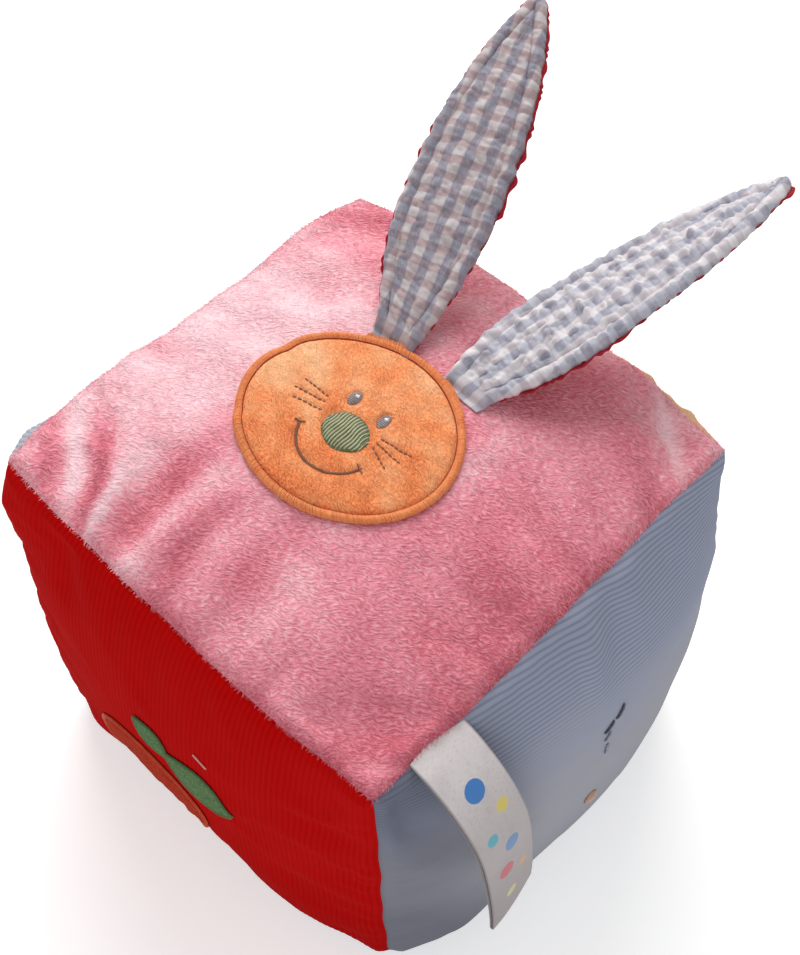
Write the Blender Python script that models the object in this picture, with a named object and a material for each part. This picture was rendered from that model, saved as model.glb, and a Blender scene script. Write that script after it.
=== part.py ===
"""A soft stuffed play block: six sewn panels, a rabbit's face with two ears, a ribbon label.

The block is modelled in a cube of unit coordinates u, v, w, each from -1 to 1, which
block_point() turns into the real, slightly uneven, stuffed shape. +Z is up, the face is
on top with its ears towards +Y, the red side faces -Y and the blue side faces +X.
The origin is on the table, under the middle of the block.
"""
import math
from collections import namedtuple

import bmesh
import bpy
from mathutils import Matrix, Vector

MM = 0.001

# Block: seam to seam, and how far the base seams stand off the table
EDGE = 150 * MM
BASE_LIFT = 6 * MM
BASE_PRESS = 0.5 * MM

# Crowns: how far the middle of each panel stands out past its seams
TOP_CROWN = 14 * MM
RED_CROWN = 13.4 * MM
BLUE_CROWN = 17.5 * MM
PEACH_CROWN = 14 * MM
GREY_CROWN = 14 * MM
CROWN_FULLNESS = 0.35
BASE_FLATNESS = 4

# Settled corners, as shares of the edge, by the signs of u, v, w
CORNER_SHIFT_SHARES = {
    (-1, -1, 1): (-0.010, 0.010, 0.010),
    (1, -1, 1): (0.007, -0.013, -0.006),
    (1, 1, 1): (-0.001, -0.008, -0.004),
    (-1, 1, 1): (0.020, -0.016, -0.024),
    (-1, -1, -1): (0.004, -0.020, -0.004),
    (1, -1, -1): (0.012, 0.015, 0.001),
    (1, 1, -1): (-0.004, -0.010, -0.003),
}

# Outward bows of the seams between corners, as shares of the edge; 0 is the way that a seam runs
SEAM_BOW_SHARES = {
    (0, -1, 1): (0.0, -0.017, -0.011),
    (0, 1, 1): (0.0, 0.023, 0.011),
    (1, 0, 1): (0.005, 0.0, -0.002),
    (1, 0, -1): (0.050, 0.0, -0.008),
    (-1, 0, -1): (-0.030, 0.0, 0.0),
    (0, 1, -1): (0.0, 0.030, 0.0),
    (0, -1, -1): (0.0, -0.010, -0.003),
    (-1, -1, 0): (-0.013, -0.012, 0.0),
    (1, 1, 0): (0.028, 0.023, 0.0),
    (1, -1, 0): (0.001, -0.005, 0.0),
    (-1, 1, 0): (-0.015, 0.015, 0.0),
}

# Cloth and sewing
VELOUR = 2.0 * MM
NEEDLECORD = 1.6 * MM
SEAM_ALLOWANCE = 7 * MM
GAP = 0.3 * MM
PANEL_GRID = 16
PANEL_GRID_EASE = 0.35
FLANGE_STEPS = 2

# Stuffing, in two wads that close round the rattle
STUFFING_GRID = 12
STUFFING_RINGS = 4
RATTLE_RADIUS = 18 * MM
RATTLE_WALL = 1.6 * MM
RATTLE_LIP = 1.8 * MM
RATTLE_SEGMENTS = 20
RATTLE_ARC_STEPS = 6
BEAD_RADIUS = 2.6 * MM
BEAD_COUNT = 3

# Face: an oval patch on the top panel, offset from the panel's middle
FACE_HALF_WIDTH = 36.0 * MM
FACE_HALF_LENGTH = 30.4 * MM
FACE_OFFSET_X = -7.2 * MM
FACE_OFFSET_Y = 0.0 * MM
PATCH_THICKNESS = 1.5 * MM
BORDER_WIDTH = 2.6 * MM
BORDER_HEIGHT = 2.2 * MM
PATCH_SEGMENTS = 28
PATCH_RINGS = 4
STITCH_HEIGHT = 0.8 * MM

# Embroidered features, placed by shares of the face's half width and half length
NOSE_WIDTH = 15 * MM
NOSE_LENGTH = 12.4 * MM
NOSE_DOME = 1.2 * MM
NOSE_PLACE_SHARE = (0.065, -0.12)
EYE_WIDTH = 3.6 * MM
EYE_LENGTH = 5.0 * MM
LEFT_EYE_PLACE_SHARE = (-0.113, 0.216)
RIGHT_EYE_PLACE_SHARE = (0.218, 0.209)
MOUTH_LINE = 1.3 * MM
MOUTH_CENTRE_SHARE = (0.057, -0.195)
MOUTH_RADIUS_SHARE = (0.350, 0.391)
MOUTH_START_DEGREES = 198
MOUTH_END_DEGREES = 342
MOUTH_STEPS = 12
WHISKER_LINE = 0.9 * MM
LEFT_WHISKER_SHARES = (
    ((-0.235, -0.100), (-0.477, -0.156)),
    ((-0.268, -0.008), (-0.538, -0.064)),
    ((-0.293, 0.061), (-0.527, 0.061)),
)
RIGHT_WHISKER_SHARES = (
    ((0.338, -0.077), (0.519, -0.156)),
    ((0.338, -0.015), (0.566, -0.024)),
    ((0.332, 0.048), (0.594, 0.098)),
)

# Ears: measured from the fold line, which touches the top of the face patch
EAR_LENGTH = 117 * MM
EAR_WIDTH = 31 * MM
EAR_ROOT_WIDTH = 15.5 * MM
EAR_TIP_WIDTH = 4.5 * MM
EAR_WIDEST_SHARE = 0.38
EAR_ROOT_CURVE = 1.9
EAR_TIP_CURVE = 2.4
EAR_TIP_ROUND_SHARE = 0.03
EAR_CAMBER = 1.6 * MM
EAR_ROOT_BLEND_SHARE = 0.30
EAR_TWIST_BLEND_SHARE = 0.60
EAR_STATIONS = 14
EAR_ACROSS = 4
EAR_FRONT_CLOTH = 0.8 * MM
EAR_WADDING = 1.0 * MM
EAR_BACK_CLOTH = 0.8 * MM
EAR_LAYER_INSET = 1.0 * MM
EAR_ROOT_STEPS = 4
Ear = namedtuple("Ear", "name place_share yaw root_rise tip_rise twist")
LEFT_EAR = Ear("left_ear", -0.336, -19, 26, 12, 0)
RIGHT_EAR = Ear("right_ear", 0.485, 16, 20, 6, 19)

# Label: a folded ribbon, sewn into the seam between the top and the blue side
LABEL_WIDTH = 20.5 * MM
LABEL_PLACE_SHARE = -0.70
LABEL_LENGTH = 80 * MM
LABEL_BEND_SHARE = 0.55
LABEL_ROOT_SLOPE = -22
LABEL_BEND_SLOPE = -74
LABEL_END_SLOPE = -86
LABEL_PLY = 0.4 * MM
LABEL_PLY_GAP = 0.7 * MM
LABEL_SEAM_CLEARANCE = 1.7 * MM
LABEL_STEPS = 12
LABEL_ACROSS = 3
LABEL_FOLD_STEPS = 4

# Fruit and leaves sewn on the red side, placed by shares of half the edge
APPLIQUE_THICKNESS = 1.2 * MM
FRUIT_WIDTH = 56 * MM
FRUIT_HEIGHT = 50 * MM
FRUIT_PLACE_SHARE = (-0.13, -0.33)
FRUIT_SEGMENTS = 24
LONG_LEAF_WIDTH = 28 * MM
LONG_LEAF_SHARES = ((0.02, 0.17), (0.37, 0.04))
SHORT_LEAF_WIDTH = 18 * MM
SHORT_LEAF_SHARES = ((-0.17, 0.26), (-0.01, 0.14))
LEAF_BLUNT_SHARE = 0.12
LEAF_STEPS = 8

# Embroidery on the blue side: a sprig of stitches and a bud
SPRIG_LINE = 1.0 * MM
SPRIG_STITCH_SHARES = (
    ((0.140, 0.370), (0.085, 0.325)),
    ((0.070, 0.332), (0.010, 0.308)),
    ((0.045, 0.275), (0.010, 0.245)),
    ((0.022, 0.200), (0.010, 0.140)),
)
BUD_WIDTH = 5 * MM
BUD_LENGTH = 6 * MM
BUD_PLACE_SHARE = (-0.06, -0.20)

HALF = EDGE / 2
Face = namedtuple("Face", "axis sign across up")
TOP = Face(2, 1, 0, 1)
RED = Face(1, -1, 0, 2)
BLUE = Face(0, 1, 1, 2)
PEACH = Face(1, 1, 0, 2)
GREY = Face(0, -1, 1, 2)
BASE = Face(2, -1, 0, 1)
CROWNS = {
    TOP: TOP_CROWN, RED: RED_CROWN, BLUE: BLUE_CROWN,
    PEACH: PEACH_CROWN, GREY: GREY_CROWN, BASE: BASE_LIFT + BASE_PRESS,
}

# Main folds of the cloth: face, start and end by shares of half the edge, and share of the height;
# a crease goes inwards, so its share is negative
FOLD_SHARES = (
    (TOP, (-0.52, -0.92), (-0.66, -0.60), 1.0),
    (TOP, (-0.40, -0.94), (-0.46, -0.60), -0.9),
    (TOP, (-0.28, -0.92), (-0.26, -0.58), 0.75),
    (TOP, (-0.92, 0.72), (-0.66, 0.90), -1.15),
    (TOP, (-0.90, 0.50), (-0.58, 0.72), 0.9),
    (TOP, (0.66, -0.90), (0.90, -0.70), -0.9),
    (TOP, (0.70, 0.93), (0.94, 0.76), -1.1),
    (TOP, (0.56, 0.80), (0.84, 0.60), 0.75),
    (TOP, (0.52, 0.22), (0.88, 0.16), -0.55),
    (RED, (0.94, 0.55), (0.66, 0.42), -0.7),
    (RED, (-0.62, 0.94), (-0.52, 0.55), -0.7),
    (BLUE, (0.07, 0.94), (0.02, 0.62), 0.75),
    (BLUE, (0.22, 0.94), (0.18, 0.64), -0.75),
    (BLUE, (-0.94, 0.80), (-0.70, 0.30), -0.75),
    (GREY, (-0.52, 0.92), (-0.42, 0.36), 0.85),
    (GREY, (0.30, 0.94), (0.38, 0.34), -0.85),
    (PEACH, (0.44, 0.92), (0.36, 0.42), -0.75),
)
FOLD_HEIGHT = 2.4 * MM
FOLD_WIDTH = 7.5 * MM
FOLD_END_SHARE = 0.45
FOLD_SEAM_REACH = 9 * MM

# The stuffing under the cloth only makes room for the creases, which press it wider and deeper
CREASE_SPREAD = 5 * MM
CREASE_PRESS_SHARE = 1.35
Fold = namedtuple("Fold", "face start end height width")
FOLDS = [Fold(face, start, end, share * FOLD_HEIGHT, FOLD_WIDTH) for face, start, end, share in FOLD_SHARES]

COLOURS = {
    "pink_velour": ((0.86, 0.35, 0.42), 0.95),
    "red_needlecord": ((0.48, 0.02, 0.03), 0.9),
    "blue_needlecord": ((0.30, 0.37, 0.52), 0.9),
    "peach_velour": ((0.92, 0.55, 0.30), 0.95),
    "grey_needlecord": ((0.36, 0.42, 0.52), 0.9),
    "stuffing_fibre": ((0.93, 0.92, 0.89), 1.0),
    "rattle_plastic": ((0.90, 0.88, 0.80), 0.4),
    "bead_plastic": ((0.85, 0.20, 0.15), 0.35),
    "orange_velour": ((0.90, 0.33, 0.12), 0.95),
    "border_thread": ((0.82, 0.22, 0.06), 0.6),
    "nose_thread": ((0.24, 0.30, 0.13), 0.6),
    "eye_thread": ((0.35, 0.33, 0.42), 0.6),
    "line_thread": ((0.16, 0.10, 0.07), 0.7),
    "gingham": ((0.62, 0.66, 0.72), 0.9),
    "ear_wadding": ((0.92, 0.92, 0.90), 1.0),
    "ear_back_cotton": ((0.45, 0.01, 0.03), 0.85),
    "ribbon": ((0.86, 0.83, 0.80), 0.45),
    "fruit_cloth": ((0.75, 0.22, 0.07), 0.9),
    "leaf_cloth": ((0.10, 0.30, 0.08), 0.9),
    "sprig_thread": ((0.06, 0.07, 0.10), 0.7),
    "bud_thread": ((0.70, 0.30, 0.12), 0.7),
}


def clear_scene():
    """Empties the file's scene."""
    for old in list(bpy.data.objects):
        bpy.data.objects.remove(old, do_unlink=True)


def material(name):
    """The finish of that name, made once."""
    if name in bpy.data.materials:
        return bpy.data.materials[name]
    colour, roughness = COLOURS[name]
    finish = bpy.data.materials.new(name)
    finish.use_nodes = True
    shader = finish.node_tree.nodes["Principled BSDF"]
    shader.inputs["Base Color"].default_value = (*colour, 1.0)
    shader.inputs["Roughness"].default_value = roughness
    shader.inputs["Metallic"].default_value = 0.0
    finish.diffuse_color = (*colour, 1.0)
    return finish


def add_piece(name, bm, finish, parent=None):
    """Turns a bmesh, in world places, into a named object with its finish."""
    bmesh.ops.recalc_face_normals(bm, faces=bm.faces)
    mesh = bpy.data.meshes.new(name)
    bm.to_mesh(mesh)
    bm.free()
    mesh.shade_smooth()
    mesh.materials.append(material(finish))
    piece = bpy.data.objects.new(name, mesh)
    bpy.context.collection.objects.link(piece)
    if parent is not None:
        mesh.transform(Matrix.Translation(-parent.location))
        piece.parent = parent
    return piece


def crown_profile(t):
    """How full a panel is across its width: 1 in the middle, 0 at its seams."""
    return max(0.0, 1 - t * t) * (1 + CROWN_FULLNESS * t * t)


def base_profile(t):
    """As crown_profile, for the base, which its own weight presses flatter."""
    return max(0.0, 1 - abs(t) ** BASE_FLATNESS)


def ease(t):
    """Smooth step from 0 to 1."""
    t = min(1.0, max(0.0, t))
    return t * t * (3 - 2 * t)


def fold_lift(fold, across, up):
    """How far a fold lifts a place on its panel."""
    start, end, spot = Vector(fold.start), Vector(fold.end), Vector((across, up))
    run = end - start
    share = min(1.0, max(0.0, (spot - start).dot(run) / run.dot(run)))
    away = (spot - start - run * share).length * HALF
    tapered = FOLD_END_SHARE + (1 - FOLD_END_SHARE) * math.sin(math.pi * share)
    from_seam = (1 - max(abs(across), abs(up))) * HALF
    return fold.height * math.exp(-(away / fold.width) ** 2) * tapered * ease(from_seam / FOLD_SEAM_REACH)


def pressed_stuffing():
    """The creases as they press the stuffing under them."""
    creases = [fold for fold in FOLDS if fold.height < 0]
    return [fold._replace(height=fold.height * CREASE_PRESS_SHARE, width=fold.width + CREASE_SPREAD)
            for fold in creases]


def block_point(unit, folds=FOLDS):
    """The real place of a point given in the unit cube, or just outside it."""
    place = Vector(unit) * HALF
    for signs, shift in CORNER_SHIFT_SHARES.items():
        weight = math.prod((1 + s * t) / 2 for s, t in zip(signs, unit))
        place += Vector(shift) * EDGE * weight
    for signs, bow in SEAM_BOW_SHARES.items():
        weight = math.prod((1 + s * t) / 2 if s else max(0.0, 1 - t * t) for s, t in zip(signs, unit))
        place += Vector(bow) * EDGE * weight
    for face, crown in CROWNS.items():
        profile = base_profile if face is BASE else crown_profile
        fullness = profile(unit[face.across]) * profile(unit[face.up])
        place[face.axis] += face.sign * crown * fullness * ease(face.sign * unit[face.axis])
    for fold in folds:
        face = fold.face
        lift = fold_lift(fold, unit[face.across], unit[face.up])
        place[face.axis] += face.sign * lift * ease(face.sign * unit[face.axis])
    place.z = max(0.0, place.z + HALF + BASE_LIFT)
    return place


def on_face(face, across, up, height):
    """A point on a panel: real distances from its middle, and a height over its outside."""
    unit = [0.0, 0.0, 0.0]
    unit[face.axis] = face.sign * (1 + height / HALF)
    unit[face.across] = across / HALF
    unit[face.up] = up / HALF
    return block_point(unit)


def bridge(bm, first, second):
    """Quads between two closed loops with as many points."""
    count = len(first)
    for i in range(count):
        j = (i + 1) % count
        bm.faces.new((first[i], first[j], second[j], second[i]))


def loft(bm, sections, closed=False):
    """A skin over closed sections; its ends are capped, or joined where it is closed."""
    loops = [[bm.verts.new(point) for point in section] for section in sections]
    for first, second in zip(loops, loops[1:]):
        bridge(bm, first, second)
    if closed:
        bridge(bm, loops[-1], loops[0])
    else:
        bm.faces.new(loops[0])
        bm.faces.new(loops[-1])


def grid_steps(count):
    """Places from -1 to 1, closer together towards the seams."""
    steps = []
    for i in range(count + 1):
        t = 2 * i / count - 1
        steps.append(t + PANEL_GRID_EASE * math.sin(math.pi * t) / math.pi)
    return steps


def cap_grid(bm, steps, place):
    """A square grid of faces; returns its points by row and column."""
    rows = [[bm.verts.new(place(a, b)) for a in steps] for b in steps]
    for lower, upper in zip(rows, rows[1:]):
        for i in range(len(steps) - 1):
            bm.faces.new((lower[i], lower[i + 1], upper[i + 1], upper[i]))
    return rows


def rim_of(rows):
    """The points round a square grid, in order."""
    right = [row[-1] for row in rows[1:-1]]
    left = [row[0] for row in reversed(rows[1:-1])]
    return rows[0] + right + rows[-1][::-1] + left


def rim_ring(bm, steps, place):
    """A loop of points that matches rim_of for the same steps."""
    low, high = steps[0], steps[-1]
    spots = [(a, low) for a in steps]
    spots += [(high, b) for b in steps[1:-1]]
    spots += [(a, high) for a in reversed(steps)]
    spots += [(low, b) for b in reversed(steps[1:-1])]
    return [bm.verts.new(place(a, b)) for a, b in spots]


def closed_between_grids(bm, steps, outer, rings, inner):
    """One closed body: a grid, loops round its rim, and a grid that ends it."""
    rim = rim_of(cap_grid(bm, steps, outer))
    for ring in rings:
        following = rim_ring(bm, steps, ring)
        bridge(bm, rim, following)
        rim = following
    bridge(bm, rim, rim_of(cap_grid(bm, steps, inner)))


def panel(name, face, cloth, finish):
    """A cloth panel whose seam allowances are turned inwards, half way between two panels."""
    gap = GAP / 2 / HALF
    thick = cloth / HALF
    slanted = thick * math.sqrt(2)
    allowance = SEAM_ALLOWANCE / HALF

    def level(depth, inset, folds=FOLDS):
        def place(a, b):
            unit = [0.0, 0.0, 0.0]
            reach = 1 - gap - depth - inset
            unit[face.axis] = face.sign * (1 - depth)
            unit[face.across] = a * reach
            unit[face.up] = b * reach
            return block_point(unit, folds)
        return place

    rings = [level(allowance * i / FLANGE_STEPS, 0.0, ()) for i in range(1, FLANGE_STEPS + 1)]
    rings.append(level(allowance, slanted, ()))
    bm = bmesh.new()
    closed_between_grids(bm, grid_steps(PANEL_GRID), level(0.0, 0.0), rings, level(thick, slanted))
    return add_piece(name, bm, finish)


def stuffing_unit(unit):
    """Keeps a point of the stuffing clear of the turned-in seam allowances."""
    cloth = max(VELOUR, NEEDLECORD)
    limit = 2 - (2 * SEAM_ALLOWANCE + cloth * math.sqrt(2) + 2 * GAP) / HALF
    for i, j in ((0, 1), (0, 2), (1, 2)):
        reach = abs(unit[i]) + abs(unit[j])
        if reach > limit:
            unit[i] *= limit / reach
            unit[j] *= limit / reach
    return unit


def stuffing(name, sign, cutter):
    """Half of the stuffing, above or below the middle, hollowed for the rattle."""
    reach = 1 - (max(VELOUR, NEEDLECORD) + GAP) / HALF
    split = GAP / 2 / HALF
    creases = pressed_stuffing()

    def level(w):
        def place(a, b):
            return block_point(stuffing_unit([a * reach, b * reach, sign * w]), creases)
        return place

    heights = [reach + (split - reach) * i / STUFFING_RINGS for i in range(STUFFING_RINGS + 1)]
    bm = bmesh.new()
    closed_between_grids(bm, grid_steps(STUFFING_GRID), level(reach),
                         [level(w) for w in heights[1:-1]], level(split))
    bmesh.ops.triangulate(bm, faces=bm.faces)
    wad = add_piece(name, bm, "stuffing_fibre")
    pocket = wad.modifiers.new("rattle_pocket", "BOOLEAN")
    pocket.operation = "DIFFERENCE"
    pocket.solver = "EXACT"
    pocket.object = cutter
    return wad


def rattle_centre():
    """The middle of the stuffed block."""
    return block_point((0.0, 0.0, 0.0))


def rattle_cutter():
    """The ball that hollows the stuffing; it isn't a piece itself."""
    bm = bmesh.new()
    bmesh.ops.create_uvsphere(bm, u_segments=RATTLE_SEGMENTS, v_segments=RATTLE_SEGMENTS // 2,
                              radius=RATTLE_RADIUS + 2 * GAP)
    bmesh.ops.translate(bm, verts=bm.verts, vec=rattle_centre())
    cutter = add_piece("rattle_space", bm, "stuffing_fibre")
    cutter.hide_render = True
    cutter.display_type = "WIRE"
    return cutter


def arc(radius, start, end, steps):
    """Points of an arc in the XZ plane, about the origin, between two angles in radians."""
    points = []
    for i in range(steps + 1):
        angle = start + (end - start) * i / steps
        points.append(Vector((radius * math.cos(angle), 0.0, radius * math.sin(angle))))
    return points


def turned(name, profile, finish):
    """A body of revolution about the rattle's upright axis; the profile starts and ends on it."""
    bm = bmesh.new()
    verts = [bm.verts.new(point) for point in profile]
    edges = [bm.edges.new(pair) for pair in zip(verts, verts[1:])]
    bmesh.ops.spin(bm, geom=verts + edges, cent=Vector(), axis=Vector((0, 0, 1)),
                   angle=2 * math.pi, steps=RATTLE_SEGMENTS, use_duplicate=False)
    bmesh.ops.remove_doubles(bm, verts=bm.verts, dist=GAP / 100)
    bmesh.ops.translate(bm, verts=bm.verts, vec=rattle_centre())
    return add_piece(name, bm, finish)


def rattle():
    """A two-part ball: the upper half's rim sits outside the lower half's lip. Beads lie inside."""
    inside = RATTLE_RADIUS - RATTLE_WALL
    middle = RATTLE_RADIUS - RATTLE_WALL / 2
    low = -GAP / 2
    dip = math.asin(-low / RATTLE_RADIUS)
    lip_out = middle - GAP / 2
    lip_top = math.asin(RATTLE_LIP / inside)
    lower = arc(RATTLE_RADIUS, -math.pi / 2, -dip, RATTLE_ARC_STEPS)
    lower += [Vector((lip_out, 0, low)), Vector((lip_out, 0, RATTLE_LIP))]
    lower += arc(inside, lip_top, -math.pi / 2, RATTLE_ARC_STEPS)
    turned("rattle_case_lower", lower, "rattle_plastic")

    rim_in = middle + GAP / 2
    step = RATTLE_LIP + GAP
    upper = arc(RATTLE_RADIUS, math.pi / 2, dip, RATTLE_ARC_STEPS)
    upper += [Vector((rim_in, 0, -low)), Vector((rim_in, 0, step))]
    upper += arc(inside, math.asin(step / inside), math.pi / 2, RATTLE_ARC_STEPS)
    turned("rattle_case_upper", upper, "rattle_plastic")

    seat = inside - BEAD_RADIUS - GAP
    tilt = math.asin(min(1.0, (BEAD_RADIUS + GAP / 2) / (seat * math.sin(math.pi / BEAD_COUNT))))
    for i in range(BEAD_COUNT):
        turn = 2 * math.pi * i / BEAD_COUNT
        spot = Vector((math.sin(tilt) * math.cos(turn), math.sin(tilt) * math.sin(turn), -math.cos(tilt)))
        place = Matrix.Translation(rattle_centre() + spot * seat)
        bm = bmesh.new()
        bmesh.ops.create_icosphere(bm, subdivisions=2, radius=BEAD_RADIUS, matrix=place)
        add_piece(f"rattle_bead_{i + 1}", bm, "bead_plastic")


def pad_on(bm, face, outline, low, high, dome=0.0, rings=2, segments=PATCH_SEGMENTS):
    """A cloth patch that follows a panel. outline(share, angle) gives its places on the panel."""
    angles = [2 * math.pi * i / segments for i in range(segments)]
    shares = [i / rings for i in range(1, rings + 1)]

    def top_height(share):
        return high + dome * (1 - share * share)

    def loop(share, height):
        return [bm.verts.new(on_face(face, *outline(share, angle), height)) for angle in angles]

    loops = [loop(share, low) for share in shares]
    loops += [loop(share, top_height(share)) for share in reversed(shares)]
    for first, second in zip(loops, loops[1:]):
        bridge(bm, first, second)
    for ring, height in ((loops[0], low), (loops[-1], top_height(0.0))):
        middle = bm.verts.new(on_face(face, *outline(0.0, 0.0), height))
        for i in range(segments):
            bm.faces.new((ring[i], ring[(i + 1) % segments], middle))


def ellipse(centre, width, length):
    """An outline for pad_on."""
    def outline(share, angle):
        return (centre[0] + share * math.cos(angle) * width / 2,
                centre[1] + share * math.sin(angle) * length / 2)
    return outline


def stitch_line(bm, face, path, width, low, high, closed=False):
    """A raised line of thread or braid that follows a path on a panel."""
    sections = []
    count = len(path)
    for i, spot in enumerate(path):
        before = path[(i - 1) % count] if closed else path[max(i - 1, 0)]
        after = path[(i + 1) % count] if closed else path[min(i + 1, count - 1)]
        along = Vector((after[0] - before[0], after[1] - before[1])).normalized()
        side = Vector((-along.y, along.x)) * width / 2
        shoulder = low + (high - low) * 0.6
        profile = ((-1, low), (1, low), (1, shoulder), (0.5, high), (-0.5, high), (-1, shoulder))
        sections.append([on_face(face, spot[0] + side.x * s, spot[1] + side.y * s, height)
                         for s, height in profile])
    loft(bm, sections, closed)


def straight(start, end, steps=2):
    """Evenly spaced points between two places."""
    return [(start[0] + (end[0] - start[0]) * i / steps, start[1] + (end[1] - start[1]) * i / steps)
            for i in range(steps + 1)]


def face_place(share):
    """A place on the top panel, by shares of the face's half sizes from the patch's middle."""
    return (FACE_OFFSET_X + share[0] * FACE_HALF_WIDTH, FACE_OFFSET_Y + share[1] * FACE_HALF_LENGTH)


def face():
    """The patch with its satin-stitched border and embroidered features."""
    centre = face_place((0.0, 0.0))
    patch_inset = 2 * (BORDER_WIDTH + GAP)
    patch = ellipse(centre, 2 * FACE_HALF_WIDTH - patch_inset, 2 * FACE_HALF_LENGTH - patch_inset)
    patch_top = GAP + PATCH_THICKNESS
    bm = bmesh.new()
    pad_on(bm, TOP, patch, GAP, patch_top, rings=PATCH_RINGS)
    add_piece("face_patch", bm, "orange_velour")

    oval = ellipse(centre, 2 * FACE_HALF_WIDTH - BORDER_WIDTH, 2 * FACE_HALF_LENGTH - BORDER_WIDTH)
    path = [oval(1.0, 2 * math.pi * i / PATCH_SEGMENTS) for i in range(PATCH_SEGMENTS)]
    bm = bmesh.new()
    stitch_line(bm, TOP, path, BORDER_WIDTH, GAP, GAP + BORDER_HEIGHT, closed=True)
    add_piece("face_border", bm, "border_thread")

    low = patch_top + GAP
    high = low + STITCH_HEIGHT
    bm = bmesh.new()
    nose = ellipse(face_place(NOSE_PLACE_SHARE), NOSE_WIDTH, NOSE_LENGTH)
    pad_on(bm, TOP, nose, low, high, dome=NOSE_DOME - STITCH_HEIGHT / 2, segments=PATCH_SEGMENTS // 2)
    add_piece("nose", bm, "nose_thread")
    for name, share in (("left_eye", LEFT_EYE_PLACE_SHARE), ("right_eye", RIGHT_EYE_PLACE_SHARE)):
        bm = bmesh.new()
        pad_on(bm, TOP, ellipse(face_place(share), EYE_WIDTH, EYE_LENGTH), low, high,
               rings=1, segments=PATCH_SEGMENTS // 3)
        add_piece(name, bm, "eye_thread")

    smile = []
    sweep = MOUTH_END_DEGREES - MOUTH_START_DEGREES
    for i in range(MOUTH_STEPS + 1):
        turn = math.radians(MOUTH_START_DEGREES + sweep * i / MOUTH_STEPS)
        smile.append(face_place((MOUTH_CENTRE_SHARE[0] + MOUTH_RADIUS_SHARE[0] * math.cos(turn),
                                 MOUTH_CENTRE_SHARE[1] + MOUTH_RADIUS_SHARE[1] * math.sin(turn))))
    bm = bmesh.new()
    stitch_line(bm, TOP, smile, MOUTH_LINE, low, high)
    add_piece("mouth", bm, "line_thread")
    for name, shares in (("left_whisker", LEFT_WHISKER_SHARES), ("right_whisker", RIGHT_WHISKER_SHARES)):
        for i, (start, end) in enumerate(shares):
            bm = bmesh.new()
            stitch_line(bm, TOP, straight(face_place(start), face_place(end)), WHISKER_LINE, low, high)
            add_piece(f"{name}_{i + 1}", bm, "line_thread")


def ear_stack():
    """The thickness of an ear: two cloths with wadding between them."""
    return EAR_FRONT_CLOTH + EAR_WADDING + EAR_BACK_CLOTH + 2 * GAP


def ear_fold(ear, end=0):
    """The middle of an ear's fold line, or its left (-1) or right (1) end, on the cloth's upper side."""
    across = FACE_OFFSET_X + ear.place_share * FACE_HALF_WIDTH + end * EAR_ROOT_WIDTH / 2
    up = FACE_OFFSET_Y + FACE_HALF_LENGTH + 2 * GAP
    return on_face(TOP, across, up, GAP + ear_stack())


def ear_fold_axis(ear):
    """The direction of an ear's fold line, which lies along the panel's own slope."""
    return (ear_fold(ear, 1) - ear_fold(ear, -1)).normalized()


def ear_half_width(share):
    """Half the ear's width at a share of its length."""
    widest = EAR_WIDTH / 2
    if share < EAR_WIDEST_SHARE:
        away = (EAR_WIDEST_SHARE - share) / EAR_WIDEST_SHARE
        half = widest - (widest - EAR_ROOT_WIDTH / 2) * away ** EAR_ROOT_CURVE
    else:
        away = (share - EAR_WIDEST_SHARE) / (1 - EAR_WIDEST_SHARE)
        half = widest - (widest - EAR_TIP_WIDTH / 2) * away ** EAR_TIP_CURVE
    rounding = max(0.0, (share - 1 + EAR_TIP_ROUND_SHARE) / EAR_TIP_ROUND_SHARE)
    return half * (1 - rounding * rounding / 2)


def ear_section(ear, share, top, bottom, inset):
    """The outline of one layer of an ear, cut across at a share of its length."""
    root, tip = math.radians(ear.root_rise), math.radians(ear.tip_rise)
    rise = root + (tip - root) * share
    yaw = math.radians(ear.yaw)
    outward = Vector((math.sin(yaw), math.cos(yaw), 0.0))
    bend = EAR_LENGTH / (tip - root)
    centre = ear_fold(ear) + outward * bend * (math.sin(rise) - math.sin(root))
    centre.z -= bend * (math.cos(rise) - math.cos(root))
    along = outward * math.cos(rise) + Vector((0, 0, math.sin(rise)))
    level = Vector((math.cos(yaw), -math.sin(yaw), 0.0))
    side = ear_fold_axis(ear).lerp(level, ease(share / EAR_ROOT_BLEND_SHARE)).normalized()
    upward = side.cross(along).normalized()
    twist = Matrix.Rotation(-math.radians(ear.twist) * ease(share / EAR_TWIST_BLEND_SHARE), 3, along)
    side, upward = twist @ side, twist @ upward
    half = ear_half_width(share)
    camber = EAR_CAMBER * math.sin(math.pi * share)
    edge = 1 - 2 * inset / EAR_WIDTH
    across = [edge * (2 * i / EAR_ACROSS - 1) for i in range(EAR_ACROSS + 1)]

    def line(depth, spots):
        return [centre + side * half * t - upward * (depth + camber * t * t) for t in spots]
    return line(top, across) + line(bottom, across[::-1])


def ear_layer(ear, part, finish, top, bottom, inset, hinge):
    """One layer of an ear, from the fold line to the tip."""
    shares = [i / EAR_STATIONS for i in range(EAR_STATIONS)]
    shares += [1 - EAR_TIP_ROUND_SHARE, 1 - EAR_TIP_ROUND_SHARE / 3, 1.0]
    bm = bmesh.new()
    loft(bm, [ear_section(ear, share, top, bottom, inset) for share in shares])
    return add_piece(f"{ear.name}_{part}", bm, finish, hinge)


def border_edge(across):
    """How far up the top panel the face border's outer edge reaches, at a distance across."""
    share = (across - FACE_OFFSET_X) / (FACE_HALF_WIDTH + GAP)
    return FACE_OFFSET_Y + (FACE_HALF_LENGTH + GAP) * math.sqrt(max(0.0, 1 - share * share))


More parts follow.
